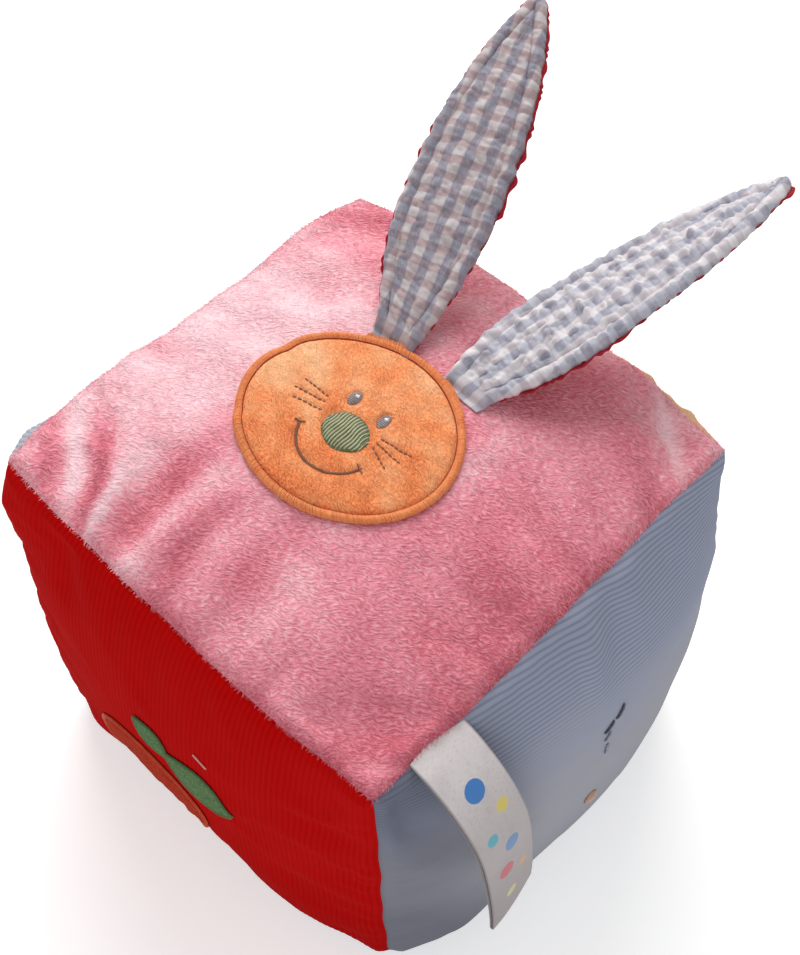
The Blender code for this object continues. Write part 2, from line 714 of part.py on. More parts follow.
def ear_root(ear):
    """The stub of the ear that is sewn down, from the face border to the fold line."""
    fold_up = FACE_OFFSET_Y + FACE_HALF_LENGTH + GAP
    fold_across = FACE_OFFSET_X + ear.place_share * FACE_HALF_WIDTH
    slant = math.tan(math.radians(ear.yaw))
    low, high = GAP, GAP + ear_stack()
    sections = []
    for i in range(EAR_ROOT_STEPS + 1):
        at_fold = fold_across + EAR_ROOT_WIDTH * (i / EAR_ROOT_STEPS - 0.5)
        at_border = at_fold - slant * (fold_up - border_edge(at_fold))
        near_up = min(border_edge(at_border), fold_up - GAP)
        sections.append([on_face(TOP, at_border, near_up, low), on_face(TOP, at_fold, fold_up, low),
                         on_face(TOP, at_fold, fold_up, high), on_face(TOP, at_border, near_up, high)])
    bm = bmesh.new()
    loft(bm, sections)
    add_piece(f"{ear.name}_root", bm, "gingham")


def hinge_empty(name, place):
    """An empty on a hinge's axis, which carries what turns there."""
    hinge = bpy.data.objects.new(name, None)
    hinge.location = place
    bpy.context.collection.objects.link(hinge)
    return hinge


def add_ear(ear):
    """An ear that turns on its fold line: gingham in front, wadding, red cotton behind."""
    hinge = hinge_empty(f"{ear.name}_fold", ear_fold(ear))
    ear_root(ear)
    wadding_top = EAR_FRONT_CLOTH + GAP
    back_top = wadding_top + EAR_WADDING + GAP
    ear_layer(ear, "front", "gingham", 0.0, EAR_FRONT_CLOTH, EAR_LAYER_INSET / 2, hinge)
    ear_layer(ear, "wadding", "ear_wadding", wadding_top, wadding_top + EAR_WADDING,
              2 * EAR_LAYER_INSET, hinge)
    ear_layer(ear, "back", "ear_back_cotton", back_top, back_top + EAR_BACK_CLOTH, 0.0, hinge)


def label_seam(v):
    """A point of the seam that holds the label."""
    return block_point((1.0, v, 1.0))


def label_line():
    """The label's middle line, as pairs of distance outwards and upwards from the seam."""
    points = [Vector((0.0, 0.0))]
    bend = LABEL_BEND_SHARE
    step = LABEL_LENGTH / LABEL_STEPS
    slopes = []
    for i in range(LABEL_STEPS):
        share = (i + 0.5) / LABEL_STEPS
        if share < bend:
            slope = LABEL_ROOT_SLOPE + (LABEL_BEND_SLOPE - LABEL_ROOT_SLOPE) * share / bend
        else:
            slope = LABEL_BEND_SLOPE + (LABEL_END_SLOPE - LABEL_BEND_SLOPE) * (share - bend) / (1 - bend)
        slopes.append(math.radians(slope))
        points.append(points[-1] + Vector((math.cos(slopes[-1]), math.sin(slopes[-1]))) * step)
    start = Vector((math.cos(slopes[0]), math.sin(slopes[0]))) * LABEL_SEAM_CLEARANCE
    return [start + point for point in points]


def offset_line(points, distance):
    """The line moved sideways, to its left for a positive distance."""
    moved = []
    for i, point in enumerate(points):
        along = (points[min(i + 1, len(points) - 1)] - points[max(i - 1, 0)]).normalized()
        moved.append(point + Vector((-along.y, along.x)) * distance)
    return moved


def label_profile():
    """The folded ribbon's outline: down its outer ply, round the fold and back up."""
    line = label_line()
    inner = LABEL_PLY_GAP / 2
    outer = inner + LABEL_PLY
    end = line[-1]
    along = (line[-1] - line[-2]).normalized()
    left = Vector((-along.y, along.x))

    def fold(radius):
        turns = [math.pi * i / LABEL_FOLD_STEPS for i in range(1, LABEL_FOLD_STEPS)]
        return [end + (left * math.cos(turn) + along * math.sin(turn)) * radius for turn in turns]

    outside = offset_line(line, outer) + fold(outer) + offset_line(line, -outer)[::-1]
    inside = offset_line(line, -inner) + fold(inner)[::-1] + offset_line(line, inner)[::-1]
    return outside + inside


def label():
    """The ribbon, whose hinge is the seam that it is sewn into."""
    hinge = hinge_empty("label_hinge", label_seam(LABEL_PLACE_SHARE))
    half = LABEL_WIDTH / 2 / HALF
    profile = label_profile()
    sections = []
    for i in range(LABEL_ACROSS + 1):
        seam = label_seam(LABEL_PLACE_SHARE + half * (2 * i / LABEL_ACROSS - 1))
        sections.append([seam + Vector((point.x, 0.0, point.y)) for point in profile])
    bm = bmesh.new()
    loft(bm, sections)
    add_piece("label_ribbon", bm, "ribbon", hinge)


def half_place(share):
    """A place on a panel by shares of half the edge."""
    return (share[0] * HALF, share[1] * HALF)


def leaf_sections(start, end, width, low, high):
    """A leaf between two places: narrow at both ends and widest in the middle."""
    start, end = Vector(half_place(start)), Vector(half_place(end))
    along = (end - start).normalized()
    side = Vector((-along.y, along.x))
    blunt = LEAF_BLUNT_SHARE * width / 2
    sections = []
    for i in range(LEAF_STEPS + 1):
        share = i / LEAF_STEPS
        spot = start.lerp(end, share)
        half = blunt + (width / 2 - blunt) * math.sin(math.pi * share)
        loop = []
        for s, height in ((-1, low), (0, low), (1, low), (1, high), (0, high), (-1, high)):
            place = spot + side * half * s
            loop.append(on_face(RED, place.x, place.y, height))
        sections.append(loop)
    return sections


def red_side_applique():
    """A plain round fruit with two leaves, sewn on the red side."""
    low = GAP
    high = GAP + APPLIQUE_THICKNESS
    bm = bmesh.new()
    fruit = ellipse(half_place(FRUIT_PLACE_SHARE), FRUIT_WIDTH, FRUIT_HEIGHT)
    pad_on(bm, RED, fruit, low, high, rings=PATCH_RINGS, segments=FRUIT_SEGMENTS)
    add_piece("fruit_patch", bm, "fruit_cloth")
    leaves = (("long_leaf", LONG_LEAF_SHARES, LONG_LEAF_WIDTH),
              ("short_leaf", SHORT_LEAF_SHARES, SHORT_LEAF_WIDTH))
    for name, (start, end), width in leaves:
        bm = bmesh.new()
        loft(bm, leaf_sections(start, end, width, low, high))
        add_piece(name, bm, "leaf_cloth")


def blue_side_embroidery():
    """A sprig of short stitches and a bud on the blue side."""
    low = GAP
    high = GAP + STITCH_HEIGHT
    for i, (start, end) in enumerate(SPRIG_STITCH_SHARES):
        bm = bmesh.new()
        stitch_line(bm, BLUE, straight(half_place(start), half_place(end)), SPRIG_LINE, low, high)
        add_piece(f"sprig_stitch_{i + 1}", bm, "sprig_thread")
    bm = bmesh.new()
    pad_on(bm, BLUE, ellipse(half_place(BUD_PLACE_SHARE), BUD_WIDTH, BUD_LENGTH), low, high,
           rings=1, segments=PATCH_SEGMENTS // 2)
    add_piece("bud", bm, "bud_thread")


def block():
    """The six panels and what they are stuffed with."""
    panel("top_panel", TOP, VELOUR, "pink_velour")
    panel("red_side_panel", RED, NEEDLECORD, "red_needlecord")
    panel("blue_side_panel", BLUE, NEEDLECORD, "blue_needlecord")
    panel("peach_side_panel", PEACH, VELOUR, "peach_velour")
    panel("grey_side_panel", GREY, NEEDLECORD, "grey_needlecord")
    panel("base_panel", BASE, NEEDLECORD, "blue_needlecord")
    cutter = rattle_cutter()
    stuffing("stuffing_upper", 1, cutter)
    stuffing("stuffing_lower", -1, cutter)
    rattle()


def main():
    """Builds the whole block."""
    clear_scene()
    block()
    face()
    add_ear(LEFT_EAR)
    add_ear(RIGHT_EAR)
    label()
    red_side_applique()
    blue_side_embroidery()


main()
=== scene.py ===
"""The looks of a soft stuffed block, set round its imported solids.

Six sewn panels are stuffed by a cloth simulation, and get a velour pile or needlecord ribs.
A rabbit's face is embroidered on the top panel, with two padded gingham ears, and a folded
ribbon hangs from a seam. Lengths are in metres; +Z is up, the ears point to +Y.
"""

import logging
import math
from dataclasses import dataclass, field
from enum import Enum

import bmesh
import bpy
import numpy as np
from mathutils import Matrix, Vector


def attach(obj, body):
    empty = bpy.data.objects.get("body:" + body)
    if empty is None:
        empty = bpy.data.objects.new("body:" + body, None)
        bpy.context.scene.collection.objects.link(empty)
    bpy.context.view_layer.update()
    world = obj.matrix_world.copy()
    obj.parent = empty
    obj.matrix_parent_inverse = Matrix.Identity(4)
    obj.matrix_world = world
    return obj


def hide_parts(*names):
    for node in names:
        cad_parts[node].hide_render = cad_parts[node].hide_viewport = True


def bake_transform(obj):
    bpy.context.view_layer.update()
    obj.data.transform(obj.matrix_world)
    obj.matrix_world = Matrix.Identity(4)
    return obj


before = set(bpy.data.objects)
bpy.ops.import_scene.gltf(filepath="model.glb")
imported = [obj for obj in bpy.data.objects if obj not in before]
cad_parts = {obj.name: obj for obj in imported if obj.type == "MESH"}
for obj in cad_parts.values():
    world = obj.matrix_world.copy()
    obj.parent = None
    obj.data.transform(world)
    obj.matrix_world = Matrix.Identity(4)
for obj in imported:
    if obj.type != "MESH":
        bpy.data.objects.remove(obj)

MM = 0.001
TURN = 2 * math.pi
Array = np.ndarray
Colour = tuple[float, float, float]
Spot = tuple[float, float]
Piece = bpy.types.Object
Material = bpy.types.Material
log = logging.getLogger("soft_block")


# Numbers, noise and plain meshes

def smooth(t: Array) -> Array:
    """A smooth step from 0 to 1."""
    t = np.clip(t, 0.0, 1.0)
    return t * t * (3 - 2 * t)


def bell(distance: Array, width: float) -> Array:
    """A soft hump, 1 at no distance and near 0 past twice the width."""
    return np.exp(-(distance / width) ** 2)


def domed(t: Array, fall: float = 1.0) -> Array:
    """A round profile over t from -1 to 1, which falls to 0 where fall is 1."""
    return np.sqrt(np.clip(1 - fall * t ** 2, 0, 1))


def headings(ways: Array) -> Array:
    """The same directions, with length 1."""
    return ways / np.linalg.norm(ways, axis=-1, keepdims=True)


def run_of(path: Array) -> Array:
    """How far along a line of points each of them lies."""
    return np.concatenate([[0], np.cumsum(np.linalg.norm(np.diff(path, axis=0), axis=1))])


@dataclass(frozen=True)
class Ripple:
    """Smooth repeatable unevenness: a sum of plane waves with seeded directions."""

    wavelength: float
    height: float
    seed: int
    waves: int = 14

    def at(self, points: Array, channel: int = 0) -> Array:
        """Its value at some places.

        Args:
            points: places, with one coordinate per column.
            channel: which of several independent ripples of this kind.

        Returns:
            One value a place, mostly within the ripple's height.
        """
        dice = np.random.default_rng(self.seed * 31 + channel)
        heading = headings(dice.normal(size=(self.waves, points.shape[-1])))
        stretch = dice.uniform(0.7, 1.5, self.waves)
        phase = dice.uniform(0, TURN, self.waves)
        turns = points @ (heading * stretch[:, None]).T * (TURN / self.wavelength)
        return np.sin(turns + phase).sum(-1) * self.height * math.sqrt(2 / self.waves)


def round_turns(count: int) -> Array:
    """Evenly spread turns round a circle, in radians."""
    return np.linspace(0, TURN, count, endpoint=False)


def circle(turns: Array) -> Array:
    """Pairs of places on a circle of radius 1, at turns in radians."""
    return np.stack([np.cos(turns), np.sin(turns)], -1)


def grid_quads(rows: int, columns: int, flip: bool) -> Array:
    """Corner numbers of the quads of a grid whose points are stored row by row.

    Args:
        rows: how many rows of points.
        columns: how many points in a row.
        flip: whether the quads turn the other way.

    Returns:
        One row of four corner numbers for each quad.
    """
    corner = np.arange(rows * columns).reshape(rows, columns)
    quads = np.stack([corner[:-1, :-1], corner[:-1, 1:], corner[1:, 1:], corner[1:, :-1]], -1)
    quads = quads.reshape(-1, 4)
    return quads[:, ::-1] if flip else quads


def grid_rim(rows: int, columns: int) -> Array:
    """Numbers of a grid's outermost points, in order round it."""
    number = np.arange(rows * columns).reshape(rows, columns)
    return np.concatenate([number[0], number[1:-1, -1], number[-1][::-1], number[1:-1, 0][::-1]])


def link(name: str, data: bpy.types.ID) -> Piece:
    """Puts a mesh, a camera or a lamp into the scene, as an object at the origin."""
    made = bpy.data.objects.new(name, data)
    bpy.context.scene.collection.objects.link(made)
    return made


def new_piece(name: str, points: Array, faces: list, finish: Material | None = None,
              uv: Array | None = None, edges: list | None = None) -> Piece:
    """A mesh object at the origin, whose place is in its points.

    Args:
        name: the piece's name.
        points: one place a row.
        faces: lists of corner numbers.
        finish: its material, if it has one yet.
        uv: a place on the flat cloth for each point.
        edges: pairs of point numbers, for a mesh of lines.

    Returns:
        The linked object.
    """
    mesh = bpy.data.meshes.new(name)
    mesh.from_pydata(np.asarray(points).tolist(), edges or [], faces)
    if uv is not None:
        corners = np.zeros(len(mesh.loops), np.int32)
        mesh.loops.foreach_get("vertex_index", corners)
        layer = mesh.uv_layers.new(name="cloth")
        layer.data.foreach_set("uv", np.asarray(uv, np.float32)[corners].ravel())
    if faces:
        mesh.shade_smooth()
    if finish is not None:
        mesh.materials.append(finish)
    return link(name, mesh)


def as_plain_mesh(source: Piece, name: str) -> Piece:
    """Turns an object and its modifiers into a plain mesh.

    Args:
        source: the object, which is removed.
        name: the new piece's name.

    Returns:
        The new piece.
    """
    graph = bpy.context.evaluated_depsgraph_get()
    mesh = bpy.data.meshes.new_from_object(source.evaluated_get(graph))
    mesh.name = name
    bpy.data.objects.remove(source)
    return link(name, mesh)


def corner_places(piece: Piece) -> Array:
    """The places of a piece's points."""
    return np.array([v.co for v in piece.data.vertices])


def paint(piece: Piece, name: str, values: Array, rest: float = 0.0) -> None:
    """Stores a value at each point of a piece, for its finish or its pile.

    Args:
        piece: the piece.
        name: the stored value's name.
        values: one for each of its first points.
        rest: the value of the others.
    """
    every = np.full(len(piece.data.vertices), rest, np.float32)
    every[:values.size] = values.ravel()
    piece.data.attributes.new(name, "FLOAT", "POINT").data.foreach_set("value", every)


def turn_outwards(piece: Piece) -> None:
    """Turns all faces of a closed piece outwards.

    Args:
        piece: the closed piece.
    """
    bm = bmesh.new()
    bm.from_mesh(piece.data)
    bmesh.ops.recalc_face_normals(bm, faces=bm.faces)
    bm.to_mesh(piece.data)
    bm.free()


def thicken(piece: Piece, thickness: float, offset: float = -1.0) -> None:
    """Gives a sheet its cloth's thickness.

    Args:
        piece: the sheet.
        thickness: how thick the cloth is.
        offset: -1 to grow behind the sheet, 1 in front of it, 0 both ways.
    """
    wall = piece.modifiers.new("cloth_thickness", "SOLIDIFY")
    wall.thickness = thickness
    wall.offset = offset
    wall.use_even_offset = False


# Node trees

class Signal:
    """One output of a node, which is added, taken away and multiplied like a number."""

    def __init__(self, sheet: "NodeSheet", socket: bpy.types.NodeSocket) -> None:
        """Keeps the output and the tree that it is in."""
        self.sheet = sheet
        self.socket = socket

    def out(self, key: int | str) -> "Signal":
        """Another output of the same node."""
        return Signal(self.sheet, self.socket.node.outputs[key])

    def __add__(self, other: object) -> "Signal":
        """The sum with a signal or a number."""
        return self.sheet.math("ADD", self, other)

    def __sub__(self, other: object) -> "Signal":
        """What is left when a signal or a number is taken away."""
        return self.sheet.math("SUBTRACT", self, other)

    def __rsub__(self, other: float) -> "Signal":
        """What is left of a number when the signal is taken away."""
        return self.sheet.math("SUBTRACT", other, self)

    def __mul__(self, other: object) -> "Signal":
        """The product with a signal or a number."""
        return self.sheet.math("MULTIPLY", self, other)


class NodeSheet:
    """A node tree, and what adds nodes to it."""

    def __init__(self, tree: bpy.types.NodeTree, family: str = "ShaderNode") -> None:
        """Keeps the tree, and the first part of its nodes' type names."""
        self.tree = tree
        self.family = family

    def feed(self, socket: bpy.types.NodeSocket, value: object) -> None:
        """Links an input, or sets its value.

        Args:
            socket: the input.
            value: a signal, a number, a vector, a colour or a switch.
        """
        if isinstance(value, Signal):
            self.tree.links.new(value.socket, socket)
        elif socket.type == "RGBA":
            socket.default_value = (*value, 1.0)
        else:
            socket.default_value = value

    def node(self, kind: str, inputs: dict | None = None, pick: int | str = 0,
             **settings: object) -> Signal:
        """Adds a node.

        Args:
            kind: its type's name, without the tree's own family where it is of that.
            inputs: signals or values for its inputs, by name or number.
            pick: which of its outputs is wanted.
            settings: its own properties.

        Returns:
            The output.
        """
        made = self.tree.nodes.new(kind if "Node" in kind else self.family + kind)
        for key, value in settings.items():
            setattr(made, key, value)
        for key, value in (inputs or {}).items():
            self.feed(made.inputs[key], value)
        return Signal(self, made.outputs[pick])

    def math(self, operation: str, *values: object) -> Signal:
        """An operation on numbers or signals."""
        return self.node("ShaderNodeMath", dict(enumerate(values)), operation=operation)

    def vectors(self, operation: str, first: object, second: object, pick: int = 0) -> Signal:
        """An operation on two vectors, whose number, where it gives one, is output 1."""
        key = "Scale" if operation == "SCALE" else 1
        return self.node("ShaderNodeVectorMath", {0: first, key: second}, pick, operation=operation)


class Shade(NodeSheet):
    """Builds one procedural material."""

    def __init__(self, name: str) -> None:
        """Starts a material with a bare Principled shader."""
        self.material = bpy.data.materials.new(name + "_look")
        self.material.use_nodes = True
        super().__init__(self.material.node_tree)

    def flat_place(self) -> Signal:
        """The place on the flat cloth, in metres."""
        return self.node("UVMap", uv_map="cloth")

    def solid_place(self) -> Signal:
        """The place in the block's own space, in metres."""
        return self.node("TexCoord", pick="Object")

    def stored(self, name: str) -> Signal:
        """A value that is stored on the cloth."""
        return self.node("Attribute", pick="Fac", attribute_name=name)

    def noise(self, place: Signal, size: tuple[float, ...], detail: float = 2.0, turn: float = 0.0) -> Signal:
        """Noise of a given grain.

        Args:
            place: the place in metres.
            size: the grain's size in millimetres, along and across, and through where that matters.
            detail: how many finer layers it has.
            turn: how far the grain is turned in its plane, in radians.

        Returns:
            Values about 0.5.
        """
        turned = self.node("VectorRotate", {"Vector": place, "Angle": -turn}, rotation_type="Z_AXIS")
        scale = tuple(1 / (s * MM) for s in size) + (1.0,) * (3 - len(size))
        grain = self.vectors("MULTIPLY", turned, scale)
        return self.node("TexNoise", {"Vector": grain, "Scale": 1.0, "Detail": detail, "Roughness": 0.5})

    def ramp(self, value: Signal, low: float, high: float, way: str = "LINEAR") -> Signal:
        """Values from low to high, turned to 0 to 1."""
        return self.node("MapRange", {"Value": value, "From Min": low, "From Max": high}, interpolation_type=way)

    def spread(self, value: Signal, low: float, high: float) -> Signal:
        """Values from low to high, eased to 0 to 1."""
        return self.ramp(value, low, high, "SMOOTHSTEP")

    def mix(self, share: object, first: object, second: object) -> Signal:
        """A colour between two, given as colours or signals."""
        return self.node("Mix", {0: share, 6: first, 7: second}, 2, data_type="RGBA")

    def bump(self, height: Signal, distance: float, strength: float = 1.0, under: Signal | None = None) -> Signal:
        """A relief over another one.

        Args:
            height: the relief, mostly from 0 to 1.
            distance: how high 1 stands, in millimetres.
            strength: how much of it shows.
            under: the relief that it lies on.

        Returns:
            The changed normal.
        """
        inputs = {"Height": height, "Distance": distance * MM, "Strength": strength}
        return self.node("Bump", inputs if under is None else inputs | {"Normal": under})

    def finish(self, colour: object, normal: Signal, **values: object) -> Material:
        """Sets the shader.

        Args:
            colour: the base colour, a colour or a signal.
            normal: the relief's normal.
            values: the shader's other inputs, with _ for a space.

        Returns:
            The finished material.
        """
        shader = self.tree.nodes["Principled BSDF"]
        for key, value in {"Base_Color": colour, "Normal": normal, **values}.items():
            self.feed(shader.inputs[key.replace("_", " ")], value)
        return self.material


# Finishes

@dataclass(frozen=True)
class Velour:
    """A short soft pile in clumps sized in millimetres. Its stored painted light and shade, with some uneven tone,
    goes from 0, deep, to 1, pale.
    """

    name: str
    deep: Colour
    main: Colour
    pale: Colour
    clump: Spot = (1.7, 0.60)
    turn: float = 0.5
    grain: float = 1.9
    sheen: float = 0.25
    depth: float = 0.95

    def material(self) -> Material:
        """The pile's finish.

        Returns:
            The material.
        """
        shade = Shade(self.name)
        place = shade.flat_place()
        side = (shade.noise(place, (5, 5), 1.0) - 0.5) * (4.0 * MM)
        swayed = shade.vectors("ADD", place, shade.node("CombineXYZ", {1: side}))
        clumps = shade.noise(swayed, self.clump, 1.5, self.turn)
        hairs = shade.noise(swayed, (1.0, 0.22), 2.0, self.turn)
        # Painted light and shade: the stored value moves the colour from deep through main to pale.
        painted_light_and_tone = shade.stored("painted_light_and_tone")
        grain = (clumps * 0.75 + hairs * 0.25 - 0.5) * ((1.35 - painted_light_and_tone * 0.9) * self.grain)
        paler = painted_light_and_tone + grain
        colour = shade.mix(shade.ramp(paler, 0.0, 0.5), self.deep, self.main)
        colour = shade.mix(shade.ramp(paler, 0.5, 1.0), colour, self.pale)
        relief = shade.bump(hairs, 0.12, 0.6, shade.bump(clumps, self.depth, 0.9))
        return shade.finish(colour, relief, Roughness=0.95, Sheen_Weight=self.sheen,
                            Sheen_Roughness=0.4, Sheen_Tint=self.pale, Specular_IOR_Level=0.1)


@dataclass(frozen=True)
class Needlecord:
    """Fine cord. The cloth's first coordinate runs across the ribs, the second along them."""

    name: str
    shaded_valley: Colour
    crest: Colour
    worn: Colour
    pitch: float = 1.85 * MM
    fades: Spot = (-1.0, -0.9)
    worn_across: float = 0.0
    worn_share: float = 0.2
    sheen: float = 0.1
    gloss: float = 0.15

    def material(self) -> Material:
        """The cord's finish, whose ribs show from the first of its fades, in metres, to the second.

        Returns:
            The material.
        """
        shade = Shade(self.name)
        place = shade.flat_place()
        across = shade.node("SeparateXYZ", {0: place})
        wave = shade.math("COSINE", across * (TURN / self.pitch))
        # Painted shade in the grooves between the ribs, where the ribs show.
        depth = shade.spread(across, *self.fades) * shade.spread(wave, 0.3, -1.0)
        streaks = shade.noise(place, (0.5, 5), 3.0)
        fuzz = shade.noise(place, (0.3, 0.5))
        patches = shade.noise(place, (30, 40), 1.0)
        rubbed = across * self.worn_across + self.worn_share + (patches - 0.5) * 0.9
        colour = shade.mix(depth, self.crest, self.shaded_valley)
        colour = shade.mix(shade.spread(rubbed, 0.0, 1.0), colour, self.worn)
        colour = shade.mix(shade.spread(streaks, 0.5, 0.8) * 0.25, colour, self.worn)
        # Painted shade: the stored share darkens the colour towards a quarter of the groove colour.
        painted_shade = tuple(0.25 * part for part in self.shaded_valley)
        colour = shade.mix(shade.stored("painted_cord_light"), painted_shade, colour)
        relief = shade.bump(streaks, 0.12, 0.4, shade.bump(fuzz, 0.10, 0.5))
        return shade.finish(colour, relief, Roughness=0.9, Sheen_Weight=self.sheen,
                            Sheen_Roughness=0.5, Sheen_Tint=self.worn, Specular_IOR_Level=self.gloss)


@dataclass(frozen=True)
class Gingham:
    """Puckered check: stripes both ways, woven from coloured and white threads."""

    name: str
    white: Colour
    crossing: Colour
    lengthwise: Colour
    both: Colour
    checks: Spot = (3.2 * MM, 2.8 * MM)
    thread: float = 0.36 * MM

    def material(self) -> Material:
        """The check's finish.

        Returns:
            The material.
        """
        shade = Shade(self.name)
        place = shade.flat_place()
        waver = shade.noise(place, (8, 8))
        faded = shade.noise(place, (4, 3))
        slub = shade.noise(place, (0.5, 2.4), 3.0)
        ways = shade.node("SeparateXYZ", {0: place})
        stripes, threads = [], []
        for key, check in enumerate(self.checks):
            bent = ways.out(key) + waver * (1.8 * MM)
            stripes.append(shade.spread(shade.math("SINE", bent * (math.pi / check)), -0.30, 0.30))
            threads.append(shade.math("SINE", ways.out(key) * (TURN / self.thread)))
        plain = shade.mix(stripes[1], self.white, self.crossing)
        striped = shade.mix(stripes[1], self.lengthwise, self.both)
        colour = shade.mix(stripes[0], plain, striped)
        colour = shade.mix(shade.spread(faded, 0.4, 0.75) * 0.45, colour, self.crossing)
        colour = shade.mix(shade.spread(slub, 0.45, 0.8) * 0.35, colour, self.white)
        relief = shade.bump(slub, 0.14, 0.6, shade.bump(threads[0] * threads[1], 0.05, 0.5))
        return shade.finish(colour, relief, Roughness=0.85, Sheen_Weight=0.15, Specular_IOR_Level=0.25)


@dataclass(frozen=True)
class PlainCloth:
    """Plain woven cotton, or felt where its thread, in millimetres, is coarse."""

    name: str
    dark: Colour
    light: Colour
    thread: float = 0.4
    sheen: float = 0.2
    gloss: float = 0.2

    def material(self) -> Material:
        """The cloth's finish.

        Returns:
            The material.
        """
        shade = Shade(self.name)
        place = shade.solid_place()
        size = self.thread
        weave = shade.noise(place, (size, size * 1.6, size))
        patches = shade.noise(place, (size * 22, size * 18, size * 20))
        colour = shade.mix(shade.spread(weave, 0.3, 0.7), self.dark, self.light)
        colour = shade.mix(shade.spread(patches, 0.35, 0.8) * 0.3, colour, self.light)
        return shade.finish(colour, shade.bump(weave, size * 0.35, 0.7), Roughness=0.9,
                            Sheen_Weight=self.sheen, Specular_IOR_Level=self.gloss)


@dataclass(frozen=True)
class Thread:
    """Embroidery thread, with a slight lustre."""

    name: str
    dark: Colour
    light: Colour
    lustre: float = 0.42
    sheen: float = 0.2
    gloss: float = 0.4

    def material(self) -> Material:
        """The thread's finish.

        Returns:
            The material.
        """
        shade = Shade(self.name)
        place = shade.solid_place()
        ply = shade.noise(place, (0.35, 0.35, 0.35))
        dye = shade.noise(place, (3, 3, 3))
        share = shade.spread(ply, 0.3, 0.7) * 0.7 + shade.spread(dye, 0.3, 0.7) * 0.3
        return shade.finish(shade.mix(share, self.dark, self.light), shade.bump(ply, 0.06, 0.7),
                            Roughness=self.lustre, Sheen_Weight=self.sheen, Specular_IOR_Level=self.gloss)


@dataclass(frozen=True)
class SatinRibbon:
    """Woven ribbon with plain round dots: each one's place across and along, radius and ink."""

    name: str
    ground: Colour
    shadow: Colour
    dots: tuple[tuple[float, float, float, Colour], ...]
    # The colour of the painted shade along both edges.
    rim: Colour = (0.20, 0.17, 0.19)

    def material(self) -> Material:
        """The ribbon's finish.

        Returns:
            The material.
        """
        shade = Shade(self.name)
        place = shade.flat_place()
        weft = shade.noise(place, (1.6, 0.16))
        cloudy = shade.noise(place, (9, 12))
        across = shade.node("SeparateXYZ", {0: place})
        colour = shade.mix(shade.spread(weft, 0.0, 0.55), self.shadow, self.ground)
        colour = shade.mix(shade.spread(cloudy, 0.45, 0.8) * 0.25, colour, self.shadow)
        # Painted shade, darker towards the ribbon's lower end.
        painted_shade = shade.ramp(across.out(1), 10 * MM, 80 * MM)
        colour = shade.mix(painted_shade, colour, self.shadow)
        for x, y, radius, ink in self.dots:
            away = shade.vectors("DISTANCE", place, (x * MM, y * MM, 0.0), 1)
            edge = away + (weft - 0.5) * (0.3 * MM)
            colour = shade.mix(shade.spread(edge, radius * MM, (radius - 0.3) * MM), colour, ink)
        # More painted shade towards the lower end, over the dots.
        colour = shade.mix(painted_shade * 0.4, colour, self.shadow)
        # Painted shade along both edges.
        rim = shade.spread(shade.math("ABSOLUTE", across), 9.5 * MM, 10.2 * MM)
        colour = shade.mix(rim * 0.6, colour, self.rim)
        return shade.finish(colour, shade.bump(weft, 0.05, 0.5), Roughness=0.5, Sheen_Weight=0.2,
                            Specular_IOR_Level=0.4)


@dataclass(frozen=True)
class MouldedPlastic:
    """Smooth moulded plastic with faint flow marks."""

    name: str
    colour: Colour
    shadow: Colour
    roughness: float

    def material(self) -> Material:
        """The plastic's finish.

        Returns:
            The material.
        """
        shade = Shade(self.name)
        flow = shade.noise(shade.solid_place(), (5, 5, 9), 3.0)
        colour = shade.mix(shade.spread(flow, 0.3, 0.75), self.shadow, self.colour)
        return shade.finish(colour, shade.bump(flow, 0.1, 0.3), Roughness=self.roughness, Specular_IOR_Level=0.5)


PINK_VELOUR = Velour("pink_velour", (0.62, 0.14, 0.19), (0.86, 0.31, 0.38), (0.99, 0.70, 0.75))
PEACH_VELOUR = Velour("peach_velour", (0.78, 0.36, 0.18), (0.95, 0.57, 0.34), (0.98, 0.74, 0.52))
ORANGE_VELOUR = Velour("orange_velour", (0.72, 0.14, 0.04), (0.93, 0.32, 0.125), (0.98, 0.58, 0.32),
                       clump=(1.1, 0.45), turn=-0.3, grain=1.8, sheen=0.2, depth=0.85)
RED_CORD = Needlecord("red_needlecord", (0.46, 0.0015, 0.0015), (0.53, 0.0025, 0.0025), (0.56, 0.006, 0.005),
                      sheen=0.0, gloss=0.03)
BLUE_CORD = Needlecord("blue_needlecord", (0.27, 0.30, 0.42), (0.39, 0.42, 0.54), (0.43, 0.435, 0.49),
                       fades=(24 * MM, 48 * MM), worn_across=-20.0, worn_share=0.95, gloss=0.08)
GREY_CORD = Needlecord("grey_needlecord", (0.24, 0.28, 0.35), (0.40, 0.45, 0.53), (0.47, 0.51, 0.57))
# One gingham in two copies: the left ear's is darker, as painted shade, and the right ear's lighter, as painted
# light.
SHADED_LEFT_CHECK = Gingham("shaded_left_gingham", (0.58, 0.53, 0.54), (0.43, 0.32, 0.33), (0.30, 0.30, 0.37),
                     (0.23, 0.20, 0.25))
LIT_RIGHT_CHECK = Gingham("lit_right_gingham", (0.78, 0.74, 0.77), (0.62, 0.57, 0.61), (0.49, 0.50, 0.58),
                      (0.33, 0.33, 0.41))
EAR_RED = PlainCloth("ear_back_cotton", (0.26, 0.003, 0.010), (0.47, 0.010, 0.026))
BORDER_THREAD = Thread("border_thread", (0.80, 0.20, 0.06), (0.98, 0.42, 0.17), sheen=0.05, gloss=0.2)
BORDER_SHADE = Thread("border_shade_thread", (0.46, 0.07, 0.025), (0.60, 0.13, 0.045))
NOSE_THREAD = Thread("nose_thread", (0.34, 0.35, 0.18), (0.55, 0.55, 0.35))
NOSE_SHADE = Thread("nose_shade_thread", (0.08, 0.10, 0.04), (0.15, 0.18, 0.08))
